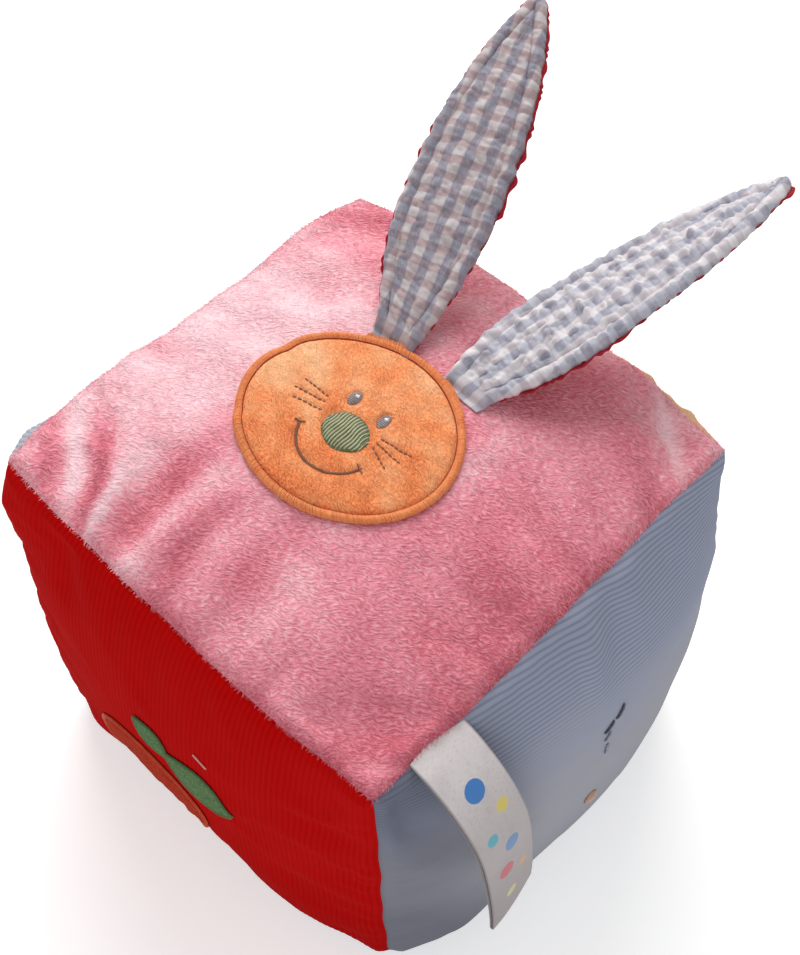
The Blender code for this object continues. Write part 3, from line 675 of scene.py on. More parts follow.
EYE_THREAD = Thread("eye_thread", (0.22, 0.18, 0.18), (0.40, 0.36, 0.37))
GLINT_THREAD = Thread("eye_glint_thread", (0.85, 0.84, 0.84), (0.95, 0.94, 0.94))
LINE_THREAD = Thread("line_thread", (0.19, 0.080, 0.050), (0.32, 0.165, 0.11), sheen=0.0, gloss=0.12)
TOPSTITCH = Thread("topstitch_thread", (0.13, 0.14, 0.20), (0.27, 0.29, 0.36))
SPRIG_THREAD = Thread("sprig_thread", (0.035, 0.035, 0.05), (0.09, 0.09, 0.13))
SPRIG_FAINT = Thread("sprig_faint_thread", (0.20, 0.21, 0.26), (0.32, 0.33, 0.38))
BUD_THREAD = Thread("bud_thread", (0.46, 0.24, 0.15), (0.64, 0.38, 0.26))
LINT_THREAD = Thread("lint_thread", (0.62, 0.25, 0.22), (0.80, 0.45, 0.42))
FRUIT_CLOTH = PlainCloth("fruit_cloth", (0.36, 0.018, 0.008), (0.50, 0.050, 0.019), 0.9, 0.0, 0.05)
LEAF_CLOTH = PlainCloth("leaf_cloth", (0.07, 0.15, 0.055), (0.16, 0.26, 0.12), 0.9, 0.0, 0.05)
FRUIT_EDGE = Thread("fruit_edge_thread", (0.44, 0.030, 0.012), (0.70, 0.11, 0.04), sheen=0.0, gloss=0.1)
LEAF_EDGE = Thread("leaf_edge_thread", (0.07, 0.13, 0.05), (0.15, 0.23, 0.10), sheen=0.0, gloss=0.1)
FIBRE = PlainCloth("stuffing_fibre", (0.78, 0.77, 0.74), (0.93, 0.92, 0.89), 1.2)
WADDING = PlainCloth("ear_wadding", (0.80, 0.80, 0.78), (0.93, 0.93, 0.91), 1.0)
RATTLE_PLASTIC = MouldedPlastic("rattle_plastic", (0.90, 0.88, 0.80), (0.80, 0.77, 0.68), 0.4)
BEAD_PLASTIC = MouldedPlastic("bead_plastic", (0.85, 0.20, 0.15), (0.70, 0.13, 0.10), 0.35)
RIBBON = SatinRibbon("ribbon", (0.76, 0.70, 0.70), (0.29, 0.24, 0.245), (
    (-1.0, 14, 3.6, (0.05, 0.22, 0.58)), (3.6, 24, 2.4, (0.80, 0.66, 0.16)), (-4.2, 31, 2.2, (0.10, 0.50, 0.62)),
    (1.5, 39, 3.0, (0.12, 0.30, 0.62)), (-2.6, 50, 3.2, (0.72, 0.06, 0.12)), (4.6, 56, 2.0, (0.85, 0.40, 0.10)),
    (-1.5, 66, 2.4, (0.82, 0.72, 0.25))))


def look(finish: object) -> Material:
    """The material of a finish, which is made once."""
    return bpy.data.materials.get(finish.name + "_look") or finish.material()


# Geometry Nodes trees for threads, stitches and pile

class Tree(NodeSheet):
    """Builds one Geometry Nodes tree that ends in Realize Instances and Set Material."""

    def __init__(self, name: str, sizes: dict[str, object]) -> None:
        """Starts a tree.

        Args:
            name: the tree's name.
            sizes: its named inputs, each with its first value.
        """
        super().__init__(bpy.data.node_groups.new(name, "GeometryNodeTree"), "GeometryNode")
        face = self.tree.interface
        face.new_socket("Geometry", in_out="INPUT", socket_type="NodeSocketGeometry")
        for key, value in sizes.items():
            kind = {float: "Float", int: "Int", tuple: "Vector"}[type(value)]
            face.new_socket(key, in_out="INPUT", socket_type=f"NodeSocket{kind}").default_value = value
        face.new_socket("Finish", in_out="INPUT", socket_type="NodeSocketMaterial")
        face.new_socket("Geometry", in_out="OUTPUT", socket_type="NodeSocketGeometry")
        self.start = self.tree.nodes.new("NodeGroupInput")
        self.end = self.tree.nodes.new("NodeGroupOutput")

    def size(self, name: str) -> Signal:
        """One of the tree's named inputs."""
        return Signal(self, self.start.outputs[name])

    def line(self) -> Signal:
        """The lines that the tree works on, as curves."""
        return self.node("MeshToCurve", {"Mesh": self.size("Geometry")})

    def close(self, geometry: Signal) -> bpy.types.NodeTree:
        """Ends the tree with its last three nodes.

        Args:
            geometry: what it has made.

        Returns:
            The tree.
        """
        rounded = self.node("SetShadeSmooth", {"Geometry": geometry})
        plain = self.node("RealizeInstances", {"Geometry": rounded})
        done = self.node("SetMaterial", {"Geometry": plain, "Material": self.size("Finish")})
        self.feed(self.end.inputs[0], done)
        return self.tree


def laid_thread_tree() -> bpy.types.NodeTree:
    """Turns lines into round threads that follow them.

    Returns:
        The tree.
    """
    tree = Tree("laid_thread", {"Radius": 0.25 * MM, "Sides": 6})
    ring = tree.node("CurvePrimitiveCircle", {"Resolution": tree.size("Sides"), "Radius": tree.size("Radius")},
                     mode="RADIUS")
    return tree.close(tree.node("CurveToMesh", {"Curve": tree.line(), "Profile Curve": ring, "Fill Caps": True}))


def running_stitch_tree() -> bpy.types.NodeTree:
    """Sets separate short stitches end to end along lines.

    Returns:
        The tree.
    """
    tree = Tree("running_stitch", {"Pitch": 2.6 * MM, "Stitch": 1.9 * MM, "Radius": 0.25 * MM})
    radius = tree.size("Radius")
    spots = tree.node("ResampleCurve", {"Curve": tree.line(), "Length": tree.size("Pitch")}, mode="LENGTH")
    grain = tree.node("MeshUVSphere", {"Segments": 8, "Rings": 6, "Radius": 1.0})
    size = tree.node("ShaderNodeCombineXYZ", {0: radius, 1: radius, 2: tree.size("Stitch") * 0.5})
    turn = tree.node("FunctionNodeAlignRotationToVector", {"Vector": tree.node("InputTangent")}, axis="Z")
    return tree.close(tree.node("InstanceOnPoints", {"Points": spots, "Instance": grain, "Rotation": turn,
                                                     "Scale": size}))


def pile_tree() -> bpy.types.NodeTree:
    """Sets short leaning fibres on a cloth, thinned by its pile attribute.

    Returns:
        The tree.
    """
    tree = Tree("pile", {"Density": 1.0e6, "Length": 1.5 * MM, "Width": 0.17 * MM, "Nap": (0.0, 1.0, 0.0),
                         "Lift": 0.8, "Spread": 0.5, "Seed": 3})
    length, width, seed = (tree.size(key) for key in ("Length", "Width", "Seed"))
    amount = tree.node("InputNamedAttribute", {"Name": "pile"}, data_type="FLOAT") * tree.size("Density")
    roots = tree.node("DistributePointsOnFaces", {"Mesh": tree.size("Geometry"), "Density": amount, "Seed": seed})
    blade = tree.node("MeshGrid", {"Size X": width, "Size Y": length, "Vertices X": 2, "Vertices Y": 3})
    across = tree.node("ShaderNodeSeparateXYZ", {0: tree.node("InputPosition")})
    rise = across.out(1) + length * 0.5
    share = tree.math("DIVIDE", rise, length)
    curl = tree.math("POWER", share, 2.0) * width
    shape = tree.node("ShaderNodeCombineXYZ", {0: across * (1.0 - share), 1: curl, 2: rise})
    shaped = tree.node("SetPosition", {"Geometry": blade, "Position": shape})
    jitter = tree.node("FunctionNodeRandomValue", {0: (-1.0, -1.0, -1.0), 1: (1.0, 1.0, 1.0), "Seed": seed},
                       data_type="FLOAT_VECTOR")
    upward = tree.vectors("SCALE", roots.out("Normal"), tree.size("Lift"))
    lean = tree.vectors("ADD", upward, tree.size("Nap"))
    aim = tree.vectors("ADD", lean, tree.vectors("SCALE", jitter, tree.size("Spread")))
    turn = tree.node("FunctionNodeAlignRotationToVector", {"Vector": aim}, axis="Z")
    spin = tree.node("FunctionNodeRandomValue", {2: 0.0, 3: TURN}, 1, data_type="FLOAT")
    about = tree.node("FunctionNodeAxisAngleToRotation", {"Axis": (0.0, 0.0, 1.0), "Angle": spin})
    both = tree.node("FunctionNodeRotateRotation", {"Rotation": turn, "Rotate By": about}, rotation_space="LOCAL")
    scale = tree.node("FunctionNodeRandomValue", {2: 0.6, 3: 1.15}, 1, data_type="FLOAT")
    return tree.close(tree.node("InstanceOnPoints", {"Points": roots, "Instance": shaped, "Rotation": both,
                                                     "Scale": scale}))


class Sewing:
    """Runs the trees on lines and cloth, and gives back plain meshes."""

    def __init__(self) -> None:
        """Builds the trees once."""
        self.thread = laid_thread_tree()
        self.stitch = running_stitch_tree()
        self.pile = pile_tree()

    def run(self, tree: bpy.types.NodeTree, source: Piece, name: str, **sizes: object) -> Piece:
        """Makes a piece from a source object, which it removes.

        Args:
            tree: the tree to run.
            source: lines or cloth.
            name: the new piece's name.
            sizes: values for the tree's named inputs.

        Returns:
            The new piece, a plain mesh.
        """
        work = source.modifiers.new("sewing", "NODES")
        work.node_group = tree
        sockets = {item.name: item.identifier for item in tree.interface.items_tree
                   if item.item_type == "SOCKET" and item.in_out == "INPUT"}
        for key, value in sizes.items():
            work[sockets[key]] = value
        return as_plain_mesh(source, name)

    def lines(self, name: str, paths: list[Array]) -> Piece:
        """Lines as one mesh without faces, for a tree to follow.

        Args:
            name: the name of the piece that they are for.
            paths: places along each line.

        Returns:
            The mesh.
        """
        edges = []
        start = 0
        for path in paths:
            edges += [(start + i, start + i + 1) for i in range(len(path) - 1)]
            start += len(path)
        return new_piece(name + "_lines", np.concatenate(paths), [], edges=edges)

    def threads(self, name: str, paths: list[Array], radius: float, finish: object, sides: int = 6) -> Piece:
        """Round threads that follow some paths."""
        return self.run(self.thread, self.lines(name, paths), name, Radius=radius, Sides=sides, Finish=look(finish))

    def stitches(self, name: str, paths: list[Array], pitch: float, stitch: float, radius: float,
                 finish: object) -> Piece:
        """Running stitches along some paths."""
        return self.run(self.stitch, self.lines(name, paths), name, Pitch=pitch, Stitch=stitch,
                        Radius=radius, Finish=look(finish))

# The stuffed form

@dataclass(frozen=True)
class Facing:
    """Which way a panel faces: its axis and sign, and the axes across and up it."""

    axis: int
    sign: int
    across: int
    up: int

    @property
    def flip(self) -> bool:
        """Whether a grid across and up it turns its faces inwards."""
        order = (self.across, self.up, self.axis)
        even = order in ((0, 1, 2), (1, 2, 0), (2, 0, 1))
        return (1 if even else -1) * self.sign < 0


class Side(Enum):
    """The block's six panels."""

    TOP = Facing(2, 1, 0, 1)
    RED = Facing(1, -1, 0, 2)
    BLUE = Facing(0, 1, 1, 2)
    PEACH = Facing(1, 1, 0, 2)
    GREY = Facing(0, -1, 1, 2)
    BASE = Facing(2, -1, 0, 1)


@dataclass(frozen=True)
class Fold:
    """A ridge, or a crease where its height is negative, between two places on a panel."""

    start: Spot
    end: Spot
    height: float
    width: float

    def lift(self, a: Array, b: Array, half: float) -> Array:
        """How high it stands at some places.

        Args:
            a: places across the panel, as shares of half the edge.
            b: places up the panel, likewise.
            half: half the edge.

        Returns:
            One height a place.
        """
        run = np.subtract(self.end, self.start)
        t = ((a - self.start[0]) * run[0] + (b - self.start[1]) * run[1]) / (run @ run)
        t = np.clip(t, 0, 1)
        away = np.hypot(a - self.start[0] - t * run[0], b - self.start[1] - t * run[1]) * half
        return self.height * bell(away, self.width) * (0.45 + 0.55 * np.sin(math.pi * t))


def folds(unit: float, *rows: tuple[float, ...]) -> tuple[Fold, ...]:
    """Folds from rows of both ends, a height in the given unit and a width in millimetres."""
    return tuple(Fold((ax, ay), (bx, by), height * unit, width * MM) for ax, ay, bx, by, height, width in rows)


@dataclass(frozen=True)
class StuffedForm:
    """The block's stuffed shape, which turns unit cube coordinates into real places."""

    edge: float = 150 * MM
    base_lift: float = 6 * MM
    base_press: float = 0.5 * MM
    fullness: float = 0.35
    base_flatness: float = 4.0
    crowns: tuple[tuple[Side, float], ...] = (
        (Side.TOP, 14 * MM), (Side.RED, 13.4 * MM), (Side.BLUE, 17.5 * MM),
        (Side.PEACH, 14 * MM), (Side.GREY, 14 * MM))
    corner_shares: tuple = (
        ((-1, -1, 1), (-0.010, 0.010, 0.010)), ((1, -1, 1), (0.007, -0.013, -0.006)),
        ((1, 1, 1), (-0.001, -0.008, -0.004)), ((-1, 1, 1), (0.020, -0.016, -0.024)),
        ((-1, -1, -1), (0.004, -0.020, -0.004)), ((1, -1, -1), (0.012, 0.015, 0.001)),
        ((1, 1, -1), (-0.004, -0.010, -0.003)))
    bow_shares: tuple = (
        ((0, -1, 1), (0.0, -0.017, -0.011)), ((0, 1, 1), (0.0, 0.023, 0.011)),
        ((1, 0, 1), (0.005, 0.0, -0.002)), ((1, 0, -1), (0.050, 0.0, -0.008)),
        ((-1, 0, -1), (-0.030, 0.0, 0.0)), ((0, 1, -1), (0.0, 0.030, 0.0)),
        ((0, -1, -1), (0.0, -0.010, -0.003)), ((-1, -1, 0), (-0.013, -0.012, 0.0)),
        ((1, 1, 0), (0.028, 0.023, 0.0)), ((1, -1, 0), (0.001, -0.005, 0.0)),
        ((-1, 1, 0), (-0.015, 0.015, 0.0)))
    fold_height: float = 2.4 * MM
    fold_width: float = 7.5 * MM
    fold_seam_reach: float = 9 * MM
    fold_shares: tuple[tuple[Side, Spot, Spot, float], ...] = (
        (Side.TOP, (-0.52, -0.92), (-0.66, -0.60), 1.0), (Side.TOP, (-0.40, -0.94), (-0.46, -0.60), -0.9),
        (Side.TOP, (-0.28, -0.92), (-0.26, -0.58), 0.75), (Side.TOP, (-0.92, 0.72), (-0.66, 0.90), -1.15),
        (Side.TOP, (-0.90, 0.50), (-0.58, 0.72), 0.9), (Side.TOP, (0.66, -0.90), (0.90, -0.70), -0.9),
        (Side.TOP, (0.70, 0.93), (0.94, 0.76), -1.1), (Side.TOP, (0.56, 0.80), (0.84, 0.60), 0.75),
        (Side.TOP, (0.52, 0.22), (0.88, 0.16), -0.55), (Side.RED, (0.94, 0.55), (0.66, 0.42), -0.7),
        (Side.RED, (-0.62, 0.94), (-0.52, 0.55), -0.7), (Side.BLUE, (0.07, 0.94), (0.02, 0.62), 0.75),
        (Side.BLUE, (0.22, 0.94), (0.18, 0.64), -0.75), (Side.BLUE, (-0.94, 0.80), (-0.70, 0.30), -0.75),
        (Side.GREY, (-0.52, 0.92), (-0.42, 0.36), 0.85), (Side.GREY, (0.30, 0.94), (0.38, 0.34), -0.85),
        (Side.PEACH, (0.44, 0.92), (0.36, 0.42), -0.75))

    @property
    def half(self) -> float:
        """Half the edge."""
        return self.edge / 2

    def seam_distance(self, a: Array, b: Array) -> Array:
        """How far places on a panel lie from its nearest seam."""
        return (1 - np.maximum(np.abs(a), np.abs(b))) * self.half

    def unit(self, side: Side, a: Array, b: Array, depth: Array | float = 0.0) -> Array:
        """Unit coordinates of places on a panel.

        Args:
            side: the panel.
            a: places across it, from -1 to 1.
            b: places up it, from -1 to 1.
            depth: how far in from its outside, as a share of half the edge.

        Returns:
            Three unit coordinates a place.
        """
        facing = side.value
        unit = np.zeros(np.broadcast(a, b).shape + (3,))
        unit[..., facing.axis] = facing.sign * (1 - depth)
        unit[..., facing.across] = a
        unit[..., facing.up] = b
        return unit

    def points(self, unit: Array, folded: bool = True) -> Array:
        """Real places of unit coordinates.

        Args:
            unit: three unit coordinates a place.
            folded: whether the cloth's main folds are in them.

        Returns:
            One real place for each.
        """
        places = unit * self.half
        for signs, shift in self.corner_shares:
            weight = np.prod([(1 + s * unit[..., k]) / 2 for k, s in enumerate(signs)], axis=0)
            places = places + weight[..., None] * np.array(shift) * self.edge
        for signs, bow in self.bow_shares:
            shares = [(1 + s * unit[..., k]) / 2 if s else np.clip(1 - unit[..., k] ** 2, 0, None)
                      for k, s in enumerate(signs)]
            places = places + np.prod(shares, axis=0)[..., None] * np.array(bow) * self.edge
        for side, crown in self.crowns:
            facing = side.value
            full = self.profile(unit[..., facing.across]) * self.profile(unit[..., facing.up])
            places[..., facing.axis] += facing.sign * crown * full * smooth(facing.sign * unit[..., facing.axis])
        for side, start, end, share in self.fold_shares if folded else ():
            facing = side.value
            a, b = unit[..., facing.across], unit[..., facing.up]
            lift = Fold(start, end, share * self.fold_height, self.fold_width).lift(a, b, self.half)
            lift = lift * smooth(self.seam_distance(a, b) / self.fold_seam_reach)
            places[..., facing.axis] += facing.sign * lift * smooth(facing.sign * unit[..., facing.axis])
        flat = [np.clip(1 - np.abs(unit[..., k]) ** self.base_flatness, 0, None) for k in (0, 1)]
        press = (self.base_lift + self.base_press) * flat[0] * flat[1] * smooth(-unit[..., 2])
        places[..., 2] = np.maximum(0.0, places[..., 2] - press + self.half + self.base_lift)
        return places

    def profile(self, t: Array) -> Array:
        """How full a panel is across its width."""
        return np.clip(1 - t * t, 0, None) * (1 + self.fullness * t * t)


@dataclass
class SkinSimulation:
    """Stuffs the sewn skin with Cloth, and keeps the wrinkles that its seams draw."""

    form: StuffedForm
    cells: int = 42
    slack: float = 0.035
    pressure: float = 4.0
    tension: float = 15.0
    bending: float = 4.0
    weight: float = 0.3
    last_frame: int = 20
    cap: float = 0.9 * MM
    fit_degree: int = 5

    def steps(self) -> Array:
        """The grid's places across a panel."""
        return np.linspace(-1, 1, self.cells + 1)

    def sew(self) -> tuple[Piece, dict[Side, Array], Array]:
        """Joins six square grids into one closed skin.

        Returns:
            The skin, each panel's point numbers by row and column, and the unit coordinates.
        """
        a, b = np.meshgrid(self.steps(), self.steps())
        spots = [self.form.unit(side, a, b).reshape(-1, 3) for side in Side]
        every = np.concatenate(spots)
        units, index = np.unique(np.round(every, 5), axis=0, return_inverse=True)
        index = np.asarray(index).reshape(len(Side), self.cells + 1, self.cells + 1)
        faces = []
        for number, side in enumerate(Side):
            quads = grid_quads(self.cells + 1, self.cells + 1, side.value.flip)
            faces += index[number].ravel()[quads].tolist()
        skin = new_piece("sewn_skin", self.form.points(units), faces, None)
        return skin, dict(zip(Side, index)), units

    def wrinkles(self) -> dict[Side, Array]:
        """Runs the simulation.

        Returns:
            For each panel, how far its grid points move from the plain form.
        """
        size = (self.cells + 1, self.cells + 1, 3)
        skin, index, units = self.sew()
        rest = self.form.points(units)
        sewn = (np.abs(units) > 1 - 1e-4).sum(1) >= 2
        resting = units[:, 2] < -1 + 1e-4
        pins = skin.vertex_groups.new(name="seams")
        pins.add(np.nonzero(sewn | resting)[0].tolist(), 1.0, "REPLACE")
        cloth = skin.modifiers.new("stuffing", "CLOTH").settings
        cloth.quality = 5
        cloth.mass = self.weight
        cloth.tension_stiffness = self.tension
        cloth.compression_stiffness = self.tension
        cloth.shear_stiffness = self.tension / 3
        cloth.bending_stiffness = self.bending
        cloth.use_pressure = True
        cloth.uniform_pressure_force = self.pressure
        cloth.vertex_group_mass = "seams"
        cloth.shrink_min = -self.slack
        cloth.effector_weights.gravity = 0.0
        for number in range(1, self.last_frame + 1):
            bpy.context.scene.frame_set(number)
        graph = bpy.context.evaluated_depsgraph_get()
        moved = np.zeros(len(units) * 3, np.float32)
        skin.evaluated_get(graph).data.vertices.foreach_get("co", moved)
        shift = moved.reshape(-1, 3).astype(float) - rest
        bpy.data.objects.remove(skin)
        bpy.context.scene.frame_set(1)
        return {side: self.only_wrinkles(shift[index[side]]) for side in Side}

    def only_wrinkles(self, shift: Array) -> Array:
        """Takes the overall swelling out of a panel's movement, and caps the rest.

        Args:
            shift: how far each of its grid points moves.

        Returns:
            What is left of each movement.
        """
        a, b = np.meshgrid(self.steps(), self.steps())
        inside = (1 - a ** 2) * (1 - b ** 2)
        terms = [inside * a ** i * b ** j for i in range(self.fit_degree) for j in range(self.fit_degree - i)]
        basis = np.stack(terms, -1).reshape(-1, len(terms))
        flat = shift.reshape(-1, 3)
        swell = basis @ np.linalg.lstsq(basis, flat, rcond=None)[0]
        left = (flat - swell).reshape(shift.shape)
        length = np.linalg.norm(left, axis=-1, keepdims=True)
        return left * np.minimum(1.0, self.cap / np.maximum(length, 1e-9))


@dataclass
class PanelSurface:
    """One panel's outside, as stuffed, with its wrinkles, small folds and seams."""

    form: StuffedForm
    side: Side
    wrinkles: Array
    folds: tuple[Fold, ...] = ()
    pucker_shares: tuple[float, float, float, float] = (1.0, 1.0, 1.0, 1.0)
    roll_depth: float = 1.0 * MM
    roll_width: float = 4.5 * MM
    swell: float = 0.8 * MM
    swell_reach: float = 24 * MM
    pucker_pitch: float = 13 * MM
    pucker_height: float = 0.15 * MM
    pucker_reach: float = 13 * MM
    sway: Ripple = Ripple(30 * MM, 0.22 * MM, 7)
    tuck: float = 2.2 * MM
    tuck_reach: float = 16 * MM
    shifts: tuple = (
        ((-1, None, 1), (-2.4, 0.0), 12), ((-1, -0.42, 1), (-2.4, 0.0), 28), ((-1, 0.70, 1), (-2.0, 0.0), 15),
        ((-1, 1, 1), (2.0, 0.0), 10), ((-1, -1, 1), (2.2, 0.0), 10), ((-1, -1, 0.75), (-2.7, -2.7), 17),
        ((None, 1, 1), (0.0, 0.8), 14), ((0.52, 1, 1), (0.0, 3.4), 18), ((-0.82, 1, 1), (0.0, 1.2), 10),
        ((1, 1, 1), (1.9, 1.6), 15), ((1, 1, 0.4), (0.6, 0.5), 18), ((1, 0.2, -0.48), (0.8, 0.0), 24),
        ((0.58, -1, -0.78), (0.0, -4.1), 32), ((1, -1, -1), (-2.0, 2.2), 13), ((1, -0.7, -0.86), (4.2, 0.0), 20),
        ((-0.58, -1, -0.54), (-0.9, -2.2), 10), ((-0.34, -1, -0.55), (0.0, 1.6), 11),
        ((0.0, -1, -0.6), (0.0, 1.2), 12),
    )
    calm: float = 1.0

    def pushed(self, unit: Array) -> Array:
        """How far the filling pushes some seams and corners out of the plain form.

        Args:
            unit: three unit coordinates a place.

        Returns:
            One movement for each.
        """
        total = np.zeros(unit.shape)
        for spot, shift, reach in self.shifts:
            squares = sum((c - unit[..., k]) ** 2 for k, c in enumerate(spot) if c is not None)
            away = np.sqrt(squares) * self.form.half
            total[..., :2] += bell(away, reach * MM)[..., None] * np.array(shift) * MM
        return total

    def tucked(self, a: Array, b: Array) -> Array:
        """How far a side panel lies in under the upper seam, so that the top bulges over it.

        Args:
            a: places across it, as shares of half the edge.
            b: places up it, likewise.

        Returns:
            One depth a place.
        """
        if self.side not in (Side.GREY, Side.PEACH):
            return np.zeros(a.shape)
        below = (1 - b) * self.form.half
        shown = bell(a + 0.84, 0.10) if self.side is Side.GREY else bell(a - 0.74, 0.20)
        return self.tuck * smooth(below / (4 * MM)) * bell(below, self.tuck_reach) * (1 - shown)

    def wrinkle(self, a: Array, b: Array) -> Array:
        """The simulated movement between grid points, by a smooth spline.

        Args:
            a: places across the panel, as shares of half the edge.
            b: places up it, likewise.

        Returns:
            One movement a place.
        """
        count = self.wrinkles.shape[0] - 1
        total = np.zeros(a.shape + (3,))
        places, weights = [], []
        for t in (a, b):
            spot = np.clip((t + 1) / 2 * count, 0, count - 1e-6)
            cell = np.floor(spot).astype(int)
            f = spot - cell
            places.append([np.clip(cell + k, 0, count) for k in (-1, 0, 1, 2)])
            weights.append([(-f + 2 * f ** 2 - f ** 3) / 2, (2 - 5 * f ** 2 + 3 * f ** 3) / 2,
                            (f + 4 * f ** 2 - 3 * f ** 3) / 2, (f ** 3 - f ** 2) / 2])
        for i in range(4):
            for j in range(4):
                weight = (weights[0][i] * weights[1][j])[..., None]
                total += weight * self.wrinkles[places[1][j], places[0][i]]
        return total

    def puckers(self, a: Array, b: Array) -> Array:
        """Small waves across each seam, which its stitching draws.

        Args:
            a: places across the panel, as shares of half the edge.
            b: places up it, likewise.

        Returns:
            One height a place.
        """
        half = self.form.half
        total = np.zeros(a.shape)
        for number, (along, towards) in enumerate(((a, b), (a, -b), (b, a), (b, -a))):
            away = (1 - towards) * half
            uneven = Ripple(24 * MM, 1.4, 40 + number).at((along * half)[..., None])
            wave = np.sin(TURN * along * half / self.pucker_pitch + uneven)
            total += wave * np.exp(-away / self.pucker_reach) * smooth(away / (3 * MM)) * self.pucker_shares[number]
        return total * self.pucker_height * self.calm

    def normals(self, a: Array, b: Array) -> Array:
        """Outward directions of the form.

        Args:
            a: places across the panel, as shares of half the edge.
            b: places up it, likewise.

        Returns:
            One direction of length 1 a place.
        """
        step = 0.01
        form, side = self.form, self.side
        right = form.points(form.unit(side, a + step, b)) - form.points(form.unit(side, a - step, b))
        up = form.points(form.unit(side, a, b + step)) - form.points(form.unit(side, a, b - step))
        normal = np.cross(right, up) * (-1 if side.value.flip else 1)
        return headings(normal)

    def place(self, a: Array, b: Array, height: Array | float = 0.0) -> Array:
        """Places on or over the panel.

        Args:
            a: places across it, as shares of half the edge.
            b: places up it, likewise.
            height: how far over its outside.

        Returns:
            One real place for each.
        """
        a, b = np.asarray(a, float), np.asarray(b, float)
        form = self.form
        away = form.seam_distance(a, b)
        roll = self.roll_depth * np.clip(1 - away / self.roll_width, 0, 1) ** 2 / form.half
        plain = form.points(form.unit(self.side, a, b) * (1 - roll)[..., None])
        normal = self.normals(np.clip(a, -0.985, 0.985), np.clip(b, -0.985, 0.985))
        lift = self.puckers(a, b) + self.swell * smooth(away / (4 * MM)) * bell(away, self.swell_reach)
        lift = lift - self.tucked(a, b)
        for fold in self.folds:
            lift = lift + fold.lift(a, b, form.half) * smooth(away / (6 * MM))
        raised = 0.0 if self.side is Side.BASE else 1.0
        drift = np.stack([self.sway.at(plain, k) for k in range(3)], -1)
        drift *= (1 - smooth(away / (18 * MM)))[..., None] * smooth(plain[..., 2:3] / (12 * MM))
        drift[..., 2] *= 0.5
        total = plain + drift + self.pushed(form.unit(self.side, a, b)) + raised * self.calm * self.wrinkle(a, b)
        return total + normal * np.asarray(lift * raised + height)[..., None]

    def at(self, across: Array, up: Array, height: Array | float = 0.0) -> Array:
        """As place, with real distances from the panel's middle."""
        return self.place(np.asarray(across) / self.form.half, np.asarray(up) / self.form.half, height)

    def over(self, path: Array, height: Array | float) -> Array:
        """As at, for pairs of distances."""
        return self.at(path[..., 0], path[..., 1], height)


def disc_faces(rings: int, count: int) -> list[tuple[int, ...]]:
    """Corner numbers of a disc's faces: its middle point, then rings of points outwards.

    Args:
        rings: how many rings.
        count: how many points in a ring.

    Returns:
        One row of corner numbers for each face.
    """
    faces = [(0, 1 + i, 1 + (i + 1) % count) for i in range(count)]
    for low in range(1, 1 + (rings - 1) * count, count):
        faces += [(low + i, low + count + i, low + count + (i + 1) % count, low + (i + 1) % count)
                  for i in range(count)]
    return faces


def satin_oval(surface: PanelSurface, centre: Spot, size: Spot, count: int, dome: float,
               ground: object = None, upright: bool = True, waver: float = 0.0) -> list[Array]:
    """Paths of satin stitches laid side by side over an oval.

    Args:
        surface: the panel that they lie on.
        centre: the oval's middle, as real distances from the panel's middle.
        size: its size across and up.
        count: how many stitches.
        dome: how high its middle stands.
        ground: a function of places that gives the height of what lies under it.
        upright: whether the stitches run up the panel, and not across it.
        waver: how far they wind sideways.

    Returns:
        One path a stitch.
    """
    paths = []
    t = np.linspace(-1, 1, 12)
    for i in range(count):
        beside = 2 * (i + 0.5) / count - 1
        reach = math.sqrt(1 - beside * beside) * t
        rise = dome * np.clip(1 - beside ** 2 - reach ** 2, 0, 1) - 0.4 * MM * np.abs(t) ** 8 + 0.15 * MM
        bent = waver * np.sin(4.4 * t + i * 0.25)
        ways = (beside * size[0] / 2 + bent, reach * size[1] / 2)
        x, y = ways if upright else (reach * size[0] / 2, beside * size[1] / 2 + bent)
        x, y = centre[0] + x, centre[1] + y
        under = ground(x, y) if ground else 0.3 * MM
        paths.append(surface.at(x, y, under + rise))
    return paths


def dress(piece: Piece, slot: str, *nodes: str) -> None:
    """Fixes a piece to the block.

    Args:
        piece: the finished piece.
        slot: its material slot; not used.
        nodes: the solids that it replaces.
    """
    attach(piece, "block")
    if nodes:
        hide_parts(*nodes)
    log.info("%s: %d faces", piece.name, len(piece.data.polygons))


# Sub-assemblies

@dataclass(frozen=True)
class Ribs:
    """How a panel's cord is cut: which way its ribs run, and how far they stand out."""

    upright: bool = True
    slant: float = 0.0
    height: float = 0.30 * MM
    samples: int = 4
    along_steps: int = 84
    fades: Spot = (-1.4, -1.2)


